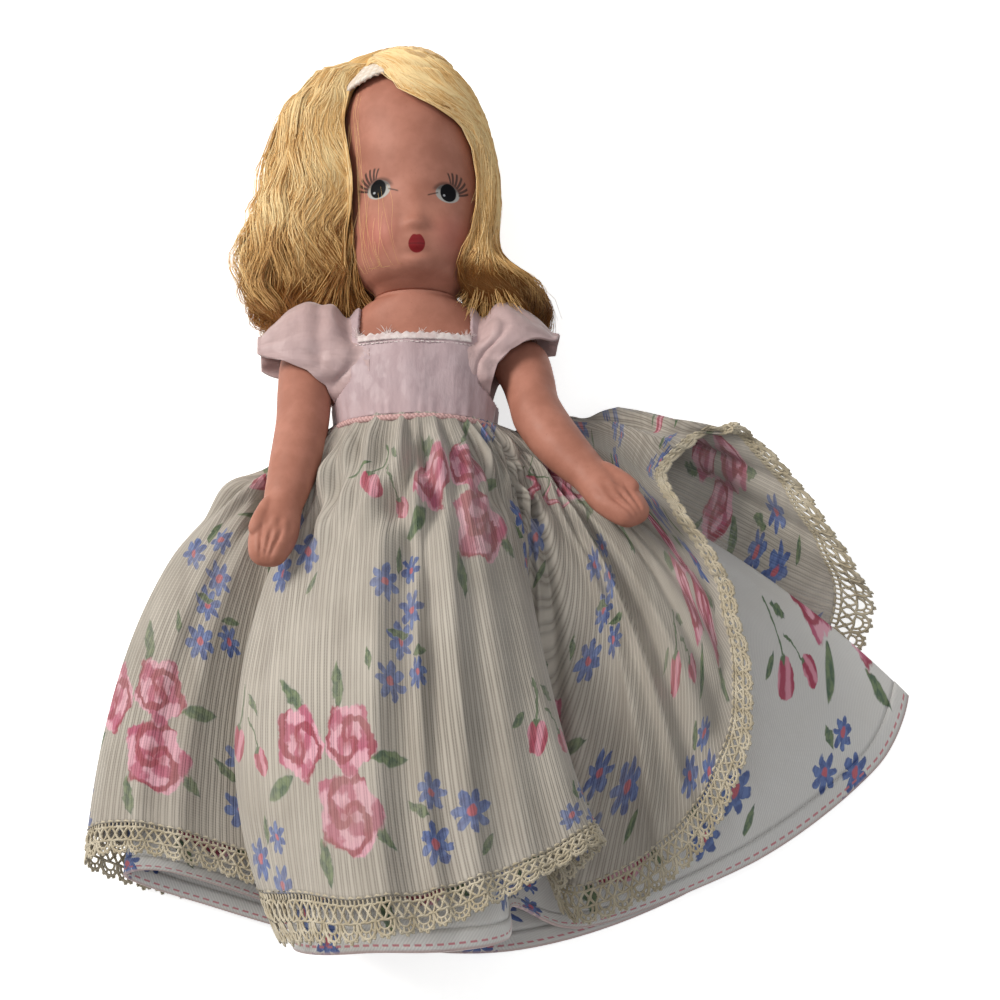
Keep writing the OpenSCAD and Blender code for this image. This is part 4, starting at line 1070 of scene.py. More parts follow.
# Petticoat: white taffeta with a fine twill, gathered into the waist seam, crisp and smooth. Its
# narrow hem is turned under and held by a row of pink stitches.
WAIST_LINE = WAIST - SOLES
PETTICOAT = (
    (-180, (2.2, -17.5, 3.6), (7, -49.2, 2), (16.3, -78.5, 1.9)),
    (-148, (-11.2, -19.1, 3.6), (-11.7, -49.2, 2), (-10.6, -77.2, 1.9)),
    (-124, (-24.6, -20.7, 3.6), (-32, -46.1, 2.4), (-33.8, -71.1, 2)),
    (-108, (-31.4, -19.8, 6), (-41.1, -43.6, 5), (-44.3, -67.7, 5)),
    (-96, (-26.6, -20.3, 8), (-34.3, -46.4, 9), (-36.8, -67.8, 9.5)),
    (-82, (-18.2, -22, 6.5), (-20.9, -48.6, 4.4), (-20, -72.9, 4.4)),
    (-62, (-18, -26.2, 18), (-18.4, -52.6, 22), (-16.3, -82, 26)),
    (-30, (-8.7, -26.2, 28.5), (-8.1, -54.8, 33), (-4.1, -83.6, 36.5)),
    (0, (1.2, -26.9, 30.5), (3, -55.4, 35), (6, -83.6, 38)),
    (22, (8.7, -25.6, 28.5), (11.7, -54.8, 32), (14.2, -81.3, 34)),
    (40, (16, -24.5, 20), (15, -53.2, 15), (15.2, -73.3, 12)),
    (54, (19.2, -22.8, 12), (20.9, -51.4, 5.5), (24.7, -75.5, 4)),
    (66, (24.9, -22.3, 10), (33.3, -48.6, 7), (38.5, -71.4, 4)),
    (78, (31.9, -19.1, 10), (44.1, -40.9, 8), (56.4, -62.9, 4)),
    (88, (34.3, -12.4, 9), (53.6, -31.4, 8), (72.1, -49.9, 4)),
    (100, (32.1, -6.7, 6), (55.6, -20.9, 5), (76.9, -39.1, 3)),
    (125, (29, -10.9, 3.2), (50.9, -30, 2), (70.8, -49.2, 1.9)),
    (152, (17.9, -17.4, 3.4), (30.4, -46, 2), (44.1, -68.7, 1.9)))
SKIRT_T = 0.7


def skirt_grid(folds, rows, columns, gap, drop):
    """Cloth from the waist to the hem through the folds, lying down, in mm. At the waist it stands
    off the torso by the gap and below the seam by the drop."""
    waist_width, waist_front, waist_back = girth(TORSO, WAIST)
    lines = [[], [], [], []]
    for degrees, third, two_thirds, hem in folds:
        phi = math.radians(degrees)
        depth = waist_front if math.cos(phi) > 0 else waist_back
        lines[0].append((SIDE + (waist_width + gap) * math.sin(phi), WAIST_LINE - PIPING_HALF - drop,
                         AXIS + (depth + gap) * math.cos(phi)))
        for line, point in zip(lines[1:], (third, two_thirds, hem)):
            line.append((SIDE + point[0], WAIST_LINE + point[1], point[2]))
    at = np.arange(columns) * len(folds) / columns
    rings = np.stack([curve_through(line, at, closed=True) for line in lines])
    t = np.linspace(0, 1, rows + 1)
    basis = np.stack([-4.5 * (t - 1 / 3) * (t - 2 / 3) * (t - 1), 13.5 * t * (t - 2 / 3) * (t - 1),
                      -13.5 * t * (t - 1 / 3) * (t - 1), 4.5 * t * (t - 1 / 3) * (t - 2 / 3)], -1)
    grid = np.einsum("vk,kcx->vcx", basis, rings)
    grid[..., 2] = np.maximum(grid[..., 2], SKIRT_T / 2)
    return grid


def ridges(phase):
    """Rounded ridges with narrow valleys between them, from -1 to 1."""
    return 2 * np.abs(np.sin(phase / 2)) ** 0.75 - 1


def gathers(grid, seed, pleats, waist_depth, folds, fold_depth):
    """How far the cloth stands in or out of its main shape: pleats from the waist, then long folds."""
    rows, columns = grid.shape[:2]
    share = np.linspace(0, 1, rows)[:, None]
    at = np.arange(columns)[None, :] / columns
    waver = 2.4 * wander(at, seed, 2, 14)
    fine = ridges(2 * math.pi * pleats * at + waver + 0.8 * share * wander(at, seed + 1, 6, 26))
    uneven = np.clip(0.8 + 0.6 * wander(at + 0.01 * share, seed + 5, 6, 24), 0.2, 1.6)
    pleat = fine * uneven * (np.exp(-share / 0.09) + 0.5 * np.exp(-share / 0.28)) * waist_depth
    puckers = wander(at + 0.05 * share, seed + 6, 14, 44)
    puckers = puckers * np.sin(share * 26 + 3 * wander(at, seed + 7, 4, 18))
    pleat = pleat + puckers * waist_depth * 1.9 * np.exp(-((share - 0.15) / 0.13) ** 2)
    long = ridges(2 * math.pi * folds * at + 2.2 * waver + 1.6 * share * wander(at, seed + 3, 2, 9))
    chosen = np.clip(0.55 + 0.9 * wander(at + 0.02 * share, seed + 4, 3, 12), 0, 1.6)
    soft = 0.45 * wander(at + 0.012 * share, seed + 2, 18, 46)
    standing = np.sin(np.clip(share, 0, 1) ** 0.6 * math.pi * 0.78)
    loose = np.clip((grid[..., 2] - 1.5) / 5, 0.0, 1)
    return (pleat + (long * chosen + soft) * standing * fold_depth) * loose


def hem_length(grid):
    return np.linalg.norm(np.roll(grid[-1], -1, 0) - grid[-1], axis=-1).sum() / 1000


def skirt_length(grid):
    return np.linalg.norm(np.diff(grid, axis=0), axis=-1).sum(0).mean() / 1000


PETTICOAT_ROWS, PETTICOAT_COLUMNS = 100, 432
HEM_SHARE = 0.04
petticoat_grid = skirt_grid(PETTICOAT, PETTICOAT_ROWS, PETTICOAT_COLUMNS, gap=0.85, drop=2.2)
pleated = gathers(petticoat_grid, 40, pleats=48, waist_depth=0.30, folds=20, fold_depth=0.22)
petticoat_grid += pleated[..., None] * normals_of(petticoat_grid, True)
petticoat_width = hem_length(petticoat_grid)
petticoat_length = skirt_length(petticoat_grid)


def taffeta(name, hem):
    """White taffeta with the print, and with a line of pink stitches where it is the hem."""
    finish, tree, shader = new_finish(name, 0.42, 0.35, 0.15)
    u, v = on_cut(tree)
    place = pair(tree, u * 1000, v * 1000)
    twill = stripes(u + v * 0.8, 0.00052).ramp(-1, 1)
    ground = tint((0.65, 0.64, 0.625), (0.76, 0.75, 0.73), twill)
    aged = noise(coordinates(tree), 60, 4).ramp(0.35, 0.75, 0.0, 0.35)
    ground = tint(ground, (0.64, 0.605, 0.55), aged)
    colour = printed(place, ground, 0.96, (-7.0, -13.0))
    if hem:
        to_edge = v * 1000 - petticoat_length * 1000
        line = (to_edge + 1.0).size().fade(0.10, 0.22)
        dash = stripes(u, 0.0016).ramp(-0.5, -0.2)
        colour = tint(colour, (0.55, 0.17, 0.20), line * dash * 0.9)
        colour = tint(colour, (0.60, 0.40, 0.38), to_edge.ramp(-0.5, -0.1, 0.0, 0.7))
    paint(shader, colour)
    link(twill.ramp(0, 1, 0.36, 0.48), shader.inputs["Roughness"])
    crinkle = noise(coordinates(tree), 160, 4) * 1.2 + twill * 0.08
    raise_surface(shader, crinkle, 0.0006, 0.5)
    return finish


def flared_uv(grid, length):
    """Corner UVs on a flared cut, measured along each row from the middle of the front."""
    rows, columns = grid.shape[:2]
    steps = np.linalg.norm(np.roll(grid, -1, 1) - grid, axis=-1) / 1000
    run = np.concatenate([np.zeros((rows, 1)), np.cumsum(steps, 1)], 1)
    run = 0.75 * run + 0.25 * run[-1:]
    front = np.argmin(np.abs(grid[-1, :, 0] - SIDE - 6) - 10 * (grid[-1, :, 2] > 20))
    run -= run[:, front:front + 1]
    down = np.broadcast_to(np.linspace(0, length, rows)[:, None], run.shape)
    flat = np.stack([run, down], -1)
    return np.stack([flat[:-1, :-1], flat[:-1, 1:], flat[1:, 1:], flat[1:, :-1]], 2)


def skirt_part(name, grid, first, last, length, finish, slot, node, thickness, shade=None):
    """Part of a skirt between two rows of its grid, keeping its place on the flat cut."""
    uv = flared_uv(grid, length)[first:last]
    faces = quad_faces(last - first + 1, grid.shape[1], True)
    piece = mesh_piece(name, grid[first:last + 1] / 1000, faces, uv.reshape(-1, 2),
                       None if shade is None else shade[first:last + 1])
    finished(piece, "SOLIDIFY", thickness=thickness, offset=0)
    return dress(smooth(piece), finish, slot, "dressed_torso", node)


hem_row = PETTICOAT_ROWS - round(PETTICOAT_ROWS * HEM_SHARE)
petticoat = skirt_part("petticoat_taffeta", petticoat_grid, 0, hem_row, petticoat_length,
                       taffeta("printed_taffeta", hem=False), "taffeta", "petticoat", thickness=0.00030)
petticoat_hem = skirt_part("petticoat_hem_taffeta", petticoat_grid, hem_row, PETTICOAT_ROWS,
                           petticoat_length, taffeta("stitched_hem", hem=True), "hem", "petticoat_hem",
                           thickness=0.00055)


# Overskirt: sheer cream cotton with raised cords running down it, printed with the same flowers
# more faintly, gathered over the petticoat and pulled up at the right into a soft bunch.
OVERSKIRT = (
    (-180, (1.3, -17.1, 2.2), (5.4, -47.3, 0.35), (10.1, -74.7, 0.35)),
    (-148, (-13.7, -18.7, 2), (-16.5, -47.3, 0.35), (-17.7, -72.7, 0.35)),
    (-124, (-29.5, -17.1, 2), (-38.5, -42.6, 0.8), (-41, -68.5, 0.35)),
    (-108, (-36.1, -15.4, 8), (-46.8, -40.9, 8), (-50.4, -65.5, 8)),
    (-96, (-29.6, -16.9, 12), (-37.9, -42.3, 15), (-39.5, -65.6, 16)),
    (-84, (-19.8, -19.6, 12), (-21.8, -46.4, 12), (-20.6, -71.2, 12)),
    (-74, (-21.9, -22.8, 17.5), (-26.4, -48.9, 20), (-19.6, -79.6, 25)),
    (-58, (-17.6, -25.3, 25.5), (-18.4, -51.8, 31.5), (-14.6, -81.4, 36)),
    (-30, (-9.2, -25.8, 33), (-9.3, -54.5, 39), (-6, -82.3, 43)),
    (0, (1.3, -26.6, 35.5), (3.1, -55.1, 41), (7.5, -79.4, 44)),
    (22, (10.2, -24.6, 33.5), (15.4, -53, 38), (19.6, -72.8, 41)),
    (40, (16.2, -23.3, 27), (22, -48.9, 32), (28.6, -66.7, 34)),
    (50, (17.7, -23.4, 22), (17.4, -49.1, 18), (21.6, -71.9, 15)),
    (60, (21.2, -21.8, 22), (24.5, -49.5, 20), (26, -75.7, 13)),
    (70, (26.9, -20.5, 22), (35, -44.2, 24), (40.2, -67.3, 17)),
    (79, (31.5, -17.4, 22), (41.8, -35.2, 25), (48.9, -48.8, 20)),
    (88, (30.1, -12.3, 21), (40.5, -22.6, 24), (46.9, -27.5, 22)),
    (97, (27.1, -7.1, 19), (34.6, -11.8, 22), (40.9, -15.1, 23)),
    (108, (27.2, -0.9, 15.5), (33.3, -4.1, 17), (39.3, -5.4, 16)),
    (121, (29, 4.1, 9), (39.8, 3.1, 13), (51.4, 0.8, 14)),
    (136, (32.3, 1.1, 3.5), (48, -4.8, 5), (67.1, -17.5, 9)),
    (150, (29.1, -7.1, 1.4), (48, -20, 0.8), (70.1, -29.8, 0.8)),
    (166, (16.4, -15.4, 1.6), (32, -39.3, 0.35), (47.3, -63, 0.35)))
OVERSKIRT_ROWS, OVERSKIRT_COLUMNS = 100, 440
LACE_SHARE = 0.07
CORD_PITCH = 0.00115
CORD_SLANT = 0.7
# Places counted in folds from the first: the open edge, the bunch and the slanted cords.
OPEN_FOLD, OPEN_REACH = 14.8, 3.6
BUNCH_FOLD = 12.6
SLANT_FOLD, SLANT_REACH = 15.2, 5

overskirt_grid = skirt_grid(OVERSKIRT, OVERSKIRT_ROWS, OVERSKIRT_COLUMNS, gap=2.45, drop=0.7)
share = np.linspace(0, 1, OVERSKIRT_ROWS + 1)[:, None]
# The top edge is turned in under the piping.
tucked = skirt_grid(OVERSKIRT, 1, OVERSKIRT_COLUMNS, gap=0.30, drop=-1.9)[0] - overskirt_grid[0]
overskirt_tuck = np.exp(-(share / 0.022) ** 2)
overskirt_grid += overskirt_tuck[..., None] * tucked
# The edge at the right lies open, so that the lace there faces up.
station = np.arange(OVERSKIRT_COLUMNS) / OVERSKIRT_COLUMNS * len(OVERSKIRT)
opened = eased(np.clip(1 - np.abs(station - OPEN_FOLD) / OPEN_REACH, 0, 1))[None, :]
opened = opened * np.clip((share - 0.86) / 0.14, 0, 1) ** 1.5
overskirt_grid[..., 2] += opened * 4.5
overskirt_grid[..., 0] += opened * 1.6
pleated = gathers(overskirt_grid, 60, pleats=40, waist_depth=0.95, folds=20, fold_depth=0.95)
pleated *= 1 - overskirt_tuck
bunch = np.exp(-((station - BUNCH_FOLD) / 0.9) ** 2 - ((share - 0.16) / 0.07) ** 2)
pleated += bunch * (1.6 + 1.3 * np.sin(station * 9 + share * 60))
overskirt_grid += pleated[..., None] * normals_of(overskirt_grid, True)
overskirt_width = hem_length(overskirt_grid)
overskirt_length = skirt_length(overskirt_grid)
# Cords: counted along the hem, and slanted at the right where the cloth is pulled round.
hem_steps = np.linalg.norm(np.roll(overskirt_grid[-1], -1, 0) - overskirt_grid[-1], axis=-1) / 1000
hem_run = np.concatenate([[0], np.cumsum(hem_steps)])
slant = CORD_SLANT * eased(np.clip(1 - np.abs(station - SLANT_FOLD) / SLANT_REACH, 0, 1))
cords = hem_run[None, :-1] + slant * (share - 1) * overskirt_length


def kept_shade(tree):
    """The number that each point of a mesh keeps: its place across the cords, or a hair's tone with its
    painted light and shade.
    """
    attribute = tree.nodes.new("ShaderNodeAttribute")
    attribute.attribute_name = "shade"
    return Wire(tree, attribute.outputs["Fac"])


dimity_finish, tree, shader = new_finish("corded_dimity", 0.75, 0.2, 0.3)
u, v = on_cut(tree)
uneven = noise(pair(tree, u * 60, v * 25), 1.0, 3)
across = kept_shade(tree) / CORD_PITCH + uneven * 0.9
cord = (across * (2 * math.pi)).cosine().ramp(-0.9, 0.9)
strong = noise(pair(tree, u * 300, v * 45), 1.0, 3).ramp(0.3, 0.7, 0.10, 0.55)
fine = (across * (2 * math.pi) * 2).cosine().ramp(-0.5, 0.8)
ladder = (v * (2 * math.pi / 0.00042)).cosine().ramp(-0.4, 0.6)
thread = cord.most(fine * 0.8)
place = pair(tree, u * 1000, v * 1000)
aged = noise(coordinates(tree), 55, 4).ramp(0.3, 0.75)
ground = tint((0.345, 0.308, 0.262), (0.445, 0.403, 0.352), aged)
ground = tint(ground, (0.60, 0.555, 0.485), thread * strong)
faded = noise(place, 0.08, 3).ramp(0.3, 0.7, 0.60, 0.92)
paint(shader, printed(place, ground, faded, (12.0, 14.0)))
sheer = noise(coordinates(tree), 70, 3).ramp(0.35, 0.7, 0.56, 0.90)
link(sheer + (sheer * -1 + 0.99) * thread.most(ladder * 0.45), shader.inputs["Alpha"])
raise_surface(shader, thread + ladder * 0.15, 0.00010, 0.7)

lace_row = OVERSKIRT_ROWS - round(OVERSKIRT_ROWS * LACE_SHARE)
overskirt = skirt_part("overskirt_dimity", overskirt_grid, 0, lace_row, overskirt_length, dimity_finish,
                       "dimity", "overskirt", thickness=0.00025, shade=cords)


# Lace: cream cotton crochet lace sewn to the overskirt's edge. Threads are twisted into a heading,
# a lattice of crossing bars, and a scalloped edge of looped fans.
LACE_REPEAT = 0.0030
repeats = round(hem_run[-1] / LACE_REPEAT)
closed_grid = np.concatenate([overskirt_grid, overskirt_grid[:, :1]], 1)
closed_slope = np.gradient(closed_grid, axis=0)
closed_normals = normals_of(overskirt_grid, True)
closed_normals = np.concatenate([closed_normals, closed_normals[:, :1]], 1)


def between(table, row, column):
    """A grid of values read between its rows and columns."""
    i = np.minimum(np.floor(row).astype(int), table.shape[0] - 2)
    j = np.minimum(np.floor(column).astype(int), table.shape[1] - 2)
    a = row - i
    b = column - j
    if table.ndim == 3:
        a = a[..., None]
        b = b[..., None]
    return ((table[i, j] * (1 - b) + table[i, j + 1] * b) * (1 - a)
            + (table[i + 1, j] * (1 - b) + table[i + 1, j + 1] * b) * a)


def on_lace(along, down, out):
    """From repeats along the hem, share of the lace's width and height off it, to its place."""
    run = (along % repeats) / repeats * hem_run[-1]
    column = np.interp(run, hem_run, np.arange(OVERSKIRT_COLUMNS + 1))
    row = lace_row + down * (OVERSKIRT_ROWS - lace_row)
    beyond = np.maximum(row - OVERSKIRT_ROWS, 0)
    row = np.clip(row, 0, OVERSKIRT_ROWS)
    middle = between(closed_grid, row, column)
    slope = between(closed_slope, row, column)
    normal = between(closed_normals, row, column)
    return (middle + slope * beyond[..., None] + out[..., None] * normal) / 1000


start = np.arange(repeats)[:, None]
lace_lines = []


def lace_thread(along, down, out, radius):
    """One thread of the pattern, in every repeat along the hem."""
    along, down, out = np.broadcast_arrays(along, down, out)
    lines = on_lace(start + along, np.broadcast_to(down, (repeats, len(down))),
                    np.broadcast_to(out, (repeats, len(out))))
    lace_lines.append((lines, radius))


FINE_THREAD, FAN_THREAD, BAR_THREAD = 0.00017, 0.00019, 0.00020
HEADING_THREAD, EDGE_THREAD = 0.00021, 0.00024
HEADING_TOP, HEADING_LOW, FAN_START = -0.04, 0.16, 0.62
rung, loop, bar, arch = [np.linspace(0, 1, steps) for steps in (4, 6, 7, 11)]
twist = np.sin(bar * FULL_TURN * 2)
cross = np.sin(bar * FULL_TURN)
for down in (HEADING_TOP, HEADING_LOW, FAN_START):
    lace_thread(bar, down + 0.012 * twist, 0.16 * twist, HEADING_THREAD)
for shift in (0.0, 0.25, 0.5, 0.75):
    lace_thread(shift + 0.05 * np.sin(rung * 3.14), HEADING_TOP + 0.20 * rung, 0.1, FINE_THREAD)
for shift in (0.0, 0.5):
    lace_thread(shift + 0.5 * bar, HEADING_LOW + 0.46 * bar, 0.12 * cross, BAR_THREAD)
    lace_thread(shift + 0.5 - 0.5 * bar, HEADING_LOW + 0.46 * bar, -0.12 * cross, BAR_THREAD)
    lace_thread(shift + 0.25 + 0.08 * np.cos(bar * FULL_TURN), 0.39 + 0.08 * cross, 0.12, FINE_THREAD)
fan = math.pi * arch
lace_thread(0.5 - 0.5 * np.cos(fan), FAN_START + 0.44 * np.sin(fan) ** 0.8, 0.08, EDGE_THREAD)
lace_thread(0.5 - 0.32 * np.cos(fan), FAN_START + 0.26 * np.sin(fan) ** 0.8, 0.05, FAN_THREAD)
for spoke in (0.2, 0.4, 0.6, 0.8):
    rise = math.sin(math.pi * spoke) ** 0.8
    lace_thread(0.5 - (0.32 + 0.18 * rung) * math.cos(math.pi * spoke),
                FAN_START + (0.26 + 0.18 * rung) * rise, 0.05, FINE_THREAD)
for spoke in (0.3, 0.5, 0.7):
    rise = math.sin(math.pi * spoke) ** 0.8
    lace_thread(0.5 - 0.5 * math.cos(math.pi * spoke) + 0.07 * np.cos(loop * FULL_TURN),
                0.66 + 0.44 * rise + 0.06 * np.sin(loop * FULL_TURN), 0.06, FINE_THREAD)

lace_points = []
lace_faces = []
filled = 0
for lines, radius in lace_lines:
    points, faces = tubes(lines, np.full(lines.shape[:2], radius), 4)
    lace_points.append(points)
    lace_faces.append(faces + filled)
    filled += len(points)

lace_finish, tree, shader = new_finish("crochet_thread", 0.85, 0.15, 0.3)
place = coordinates(tree)
yellowed = noise(place, 420, 4).ramp(0.3, 0.72)
paint(shader, tint((0.44, 0.375, 0.26), (0.62, 0.555, 0.43), yellowed))
raise_surface(shader, noise(place, 5000, 2), 0.0001, 0.7)
lace_points = np.vstack(lace_points)
lace_points[:, 2] = np.maximum(lace_points[:, 2], 0.00002)
lace = mesh_piece("lace_crochet", lace_points, np.vstack(lace_faces))
dress(lace, lace_finish, "lace", "dressed_torso", "lace_trim")


# Wig cap: a close cap of thin white cotton, glued to the head behind the hairline. The hair is
# sewn to it and hides nearly all of it.
CAP_GAP = 0.85
CAP_TOP = 38.1
CAP_ROWS, CAP_COLUMNS = 40, 144
# Cap edge: angle round the head and height above the neck seam.
CAP_EDGE = np.array([
    [0, 19], [60, 9], [90, 7.5], [120, 9], [180, 19], [195, 27], [205, 33.5], [240, 34.6], [256, 34.4],
    [276, 32.2], [298, 30], [312, 27.5], [325, 24.5], [360, 19]])


def head_point(height, angle):
    """Points on the bare head at heights and angles."""
    points = skin_point(HEAD, height, angle)
    points[..., 0] += head_lean(height)
    return points


cap_angle = turn(CAP_COLUMNS)
edge = SEAM + np.interp(np.degrees(cap_angle), CAP_EDGE[:, 0], CAP_EDGE[:, 1])
share = np.linspace(0, 1, CAP_ROWS)[:, None]
grid = head_point(edge + (SEAM + CAP_TOP - edge) * share,
                  np.broadcast_to(cap_angle, (CAP_ROWS, CAP_COLUMNS)))
cloth_piece("wig_cap_cotton", lay_down(grid + CAP_GAP * normals_of(grid, True)), True, cotton_finish,
            "cotton", "wigged_head", "wig_cap", cut=(0.074, 0.024), thickness=0.0004)


# Parting tape: a strip of ribbed white cotton tape, sewn along the front of the cap. The hair is
# stitched to it and brushed away to both sides, so that a short length shows.
WIG_GAP = 1.6
TAPE_START, TAPE_TURN = 208, 44
TAPE_HEIGHT, TAPE_RISE, TAPE_WIDTH = 32.3, 1.3, 3.9

tape_finish, tree, shader = new_finish("woven_tape", 0.85, 0.15, 0.2)
u, v = on_cut(tree)
ribs = stripes(v, 0.00045).ramp(-1, 1)
weft = stripes(u, 0.0003).ramp(-1, 1)
paint(shader, tint((0.72, 0.62, 0.52), (0.86, 0.80, 0.72), ribs * weft))
raise_surface(shader, ribs + weft * 0.4, 0.00012, 0.7)
tape_share, tape_across = np.meshgrid(np.linspace(0, 1, 50), np.linspace(0, 1, 14))
tape_angle = np.radians(TAPE_START + TAPE_TURN * tape_share)
grid = head_point(SEAM + TAPE_HEIGHT + TAPE_RISE * tape_share + TAPE_WIDTH * tape_across, tape_angle)
grid[..., 2] += 0.10 * np.sin(tape_angle * 60)
cloth_piece("parting_tape_woven", lay_down(grid + (WIG_GAP - 0.1) * normals_of(grid, False)), False,
            tape_finish, "cotton", "wigged_head", "parting_tape", cut=(0.0060, 0.002), thickness=0.0005)


# Hair: blond mohair in three masses, sewn to the tape and the cap and brushed in loose waves. It is
# full at the left and turns under at the ends; loose strands lie over packed pads.
HAIR_FALL = 15.5
# Each mass: height above the neck seam, start and end angle round the head (0 at the viewer's
# right, 90 behind), then the hair's depth at the start, in the middle and at the end.
HAIR_LEFT = np.array([
    [39, 112, 228, 1.2, 1.6, 1.4], [37.4, 115, 222, 1.6, 3, 1.8], [35.2, 118, 215, 2, 5.2, 1.6],
    [32.3, 120, 211, 2.2, 7.2, 1.4], [28, 120, 210, 2.2, 9.4, 1.2], [21, 120, 211, 2.4, 11.9, 1.2],
    [13.5, 120, 211, 2.8, 14.6, 1.6], [7.5, 122, 203, 3.3, 15.8, 2], [2.5, 126, 191, 3.4, 15.6, 2.6],
    [-1, 130, 184, 4.2, 13.8, 3.4], [-3.2, 140, 180, 5.5, 11.6, 4]])
HAIR_RIGHT = np.array([
    [39, 208, 420, 1.4, 1.2, 1.2], [37.2, 218, 420, 1.6, 0.9, 1.4], [35.2, 245, 420, 1.6, 0.8, 1.8],
    [33, 259, 420, 1.6, 0.7, 2], [30.6, 272, 420, 1.6, 0.7, 2], [28.4, 292, 420, 1.6, 0.7, 2],
    [26, 314, 420, 1.5, 0.7, 2], [21.5, 328, 420, 1.3, 0.9, 2.1], [14.5, 329, 420, 1.2, 0.9, 2.2],
    [8.5, 322, 416, 1.4, 0.6, 2.4], [4.6, 315, 412, 2, 3.4, 3], [1.8, 321, 410, 2.6, 7.6, 4],
    [-0.4, 344, 408, 3, 9.4, 4.5], [-3, 362, 404, 3.5, 9, 4.5]])
HAIR_BACK = np.array([
    [38.7, 62, 118, 1.6, 1.8, 1.6], [34.5, 62, 118, 2.2, 2.2, 2.2], [28.5, 62, 118, 2.2, 2, 2.2],
    [20.5, 62, 118, 2.2, 2, 2.4], [13.5, 62, 118, 2.2, 2, 2.8], [7.5, 66, 118, 2.4, 2, 3.4],
    [2.5, 70, 116, 2.6, 2, 3], [-0.5, 76, 110, 2.2, 2, 2.2]])


def hair_colour(tone):
    colour = tint((0.25, 0.090, 0.012), (0.80, 0.50, 0.195), tone.ramp(0.0, 0.5))
    return tint(colour, (0.99, 0.78, 0.43), tone.ramp(0.45, 1.0))


strand_finish, tree, shader = new_finish("blond_mohair", 0.42, 0.25, 0.05)
patch = noise(coordinates(tree), 130, 3).ramp(0.3, 0.7, -0.10, 0.10)
paint(shader, hair_colour(kept_shade(tree) + patch))

pad_finish, tree, shader = new_finish("packed_mohair", 0.48, 0.22, 0.05)
u, v = on_cut(tree)
fibres = noise(pair(tree, u * 5200, v * 130), 1.0, 4)
patch = noise(coordinates(tree), 130, 3).ramp(0.3, 0.7, -0.12, 0.12)
paint(shader, hair_colour(kept_shade(tree) + patch + (fibres - 0.5) * 0.7))
raise_surface(shader, fibres, 0.00035, 0.8)


def to_jaw(across, hugs):
    """How near a place across a mass is to the edge that hugs the jaw, from 0 to 1. That edge is
    the last one (1), the first one (-1) or neither (0)."""
    return {1: across, -1: 1 - across, 0: 0 * across}[hugs]


def hair_fields(mass, hugs, rows, columns, first=0.0, last=1.0):
    """The head under a mass of hair, the way out of it, and how deep the hair is, on a grid."""
    lines = curve_through(mass, np.linspace(0, len(mass) - 1, rows))
    t = np.linspace(first, last, columns)[None, :]
    angle = np.radians(lines[:, 1:2] + (lines[:, 2:3] - lines[:, 1:2]) * t)
    near = np.clip(to_jaw(t, hugs), 0, 1) ** 4
    rise = SEAM + lines[:, :1]
    base = head_point(np.maximum(rise, SEAM + HAIR_FALL - 14 * near), angle)
    straight = head_point(np.maximum(rise, SEAM + HAIR_FALL) + 0 * t, angle)
    base[..., 2] = rise
    straight[..., 2] = rise
    start, middle, stop = lines[:, 3:4], lines[:, 4:5], lines[:, 5:6]
    t = np.clip(t, 0, 1)
    depth = start * (1 - t) ** 2 + stop * t ** 2 + 2 * t * (1 - t) * (2 * middle - (start + stop) / 2)
    return base, -normals_of(straight, False), np.maximum(depth, 0.5)


def read_grid(table, down, across):
    """A grid of values read at shares down and across it."""
    rows, columns = table.shape[:2]
    return between(table, np.clip(down, 0, 1) * (rows - 1), np.clip(across, 0, 1) * (columns - 1))


def wave_phase(down, across, seed):
    return 26 * down + 2.4 * wander(across, seed, 1, 3)


PAD_ROWS, PAD_COLUMNS = 150, 150
# The share of a mass that its pad fills: it stops short of the edge that hugs the jaw.
PAD_REACH = {1: (0, 0.955), -1: (0.03, 1), 0: (0, 1)}


def hair_pad(name, mass, hugs, seed, *nodes):
    """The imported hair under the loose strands: a closed form in waves and shallow locks."""
    rows, columns = PAD_ROWS, PAD_COLUMNS
    first, last = PAD_REACH[hugs]
    base, out, depth = hair_fields(mass, hugs, rows, columns, first, last)
    down, across = np.meshgrid(np.linspace(0, 1, rows), np.linspace(0, 1, columns), indexing="ij")
    phase = wave_phase(down, across, seed)
    locks = np.sin(2 * math.pi * 21 * across + 1.2 * np.sin(phase) + 3 * wander(across, seed + 7, 2, 8))
    fullness = 0.70 + 0.06 * np.sin(phase) + 0.03 * locks
    edges = np.clip(np.minimum(across, 1 - across) / 0.09, 0, 1) * np.clip((1 - down) / 0.16, 0, 1)
    rounded = 0.35 + 0.65 * np.sqrt(edges * (2 - edges))
    outer = base + out * ((WIG_GAP + depth * fullness) * rounded)[..., None]
    inner = base + out * (WIG_GAP * 0.25)
    ring = np.concatenate([outer, inner[:, ::-1]], 1)
    # Tone: a painted highlight on the wave crests, and painted shade between the locks and near the edge
    # that hugs the jaw, with the ends darker. The inner side is dark, as painted shade.
    near = to_jaw(across, hugs) ** 6 * np.clip(down * 2 - 0.9, 0, 1)
    shade = 0.46 + 0.10 * np.sin(phase) + 0.06 * locks - 0.42 * np.clip(down * 3 - 2, 0, 1) - 0.4 * near
    shade = np.concatenate([shade, np.full((rows, columns), 0.10)], 1)
    uv = cut_uv(rows, 2 * columns, True, 0.080, 0.045)
    pad = mesh_piece(name, lay_down(ring), quad_faces(rows, 2 * columns, True), uv, shade)
    close_ends(pad)
    flat = np.empty(len(pad.data.vertices) * 3, np.float32)
    pad.data.vertices.foreach_get("co", flat)
    flat[2::3] = np.maximum(flat[2::3], 0.0001)
    pad.data.vertices.foreach_set("co", flat)
    return dress(pad, pad_finish, "hair", "wigged_head", *nodes)


ARC_STEPS, FALL_STEPS = 7, 17
FIELD_ROWS, FIELD_COLUMNS = 150, 124
LOCKS = 34
STRAND_RADIUS, NAPE_RADIUS, LOOSE_RADIUS = 0.00007, 0.00008, 0.000022
# How far past the edges of a mass its strands may lie, as a share of its width.
PAST_EDGE = 0.12
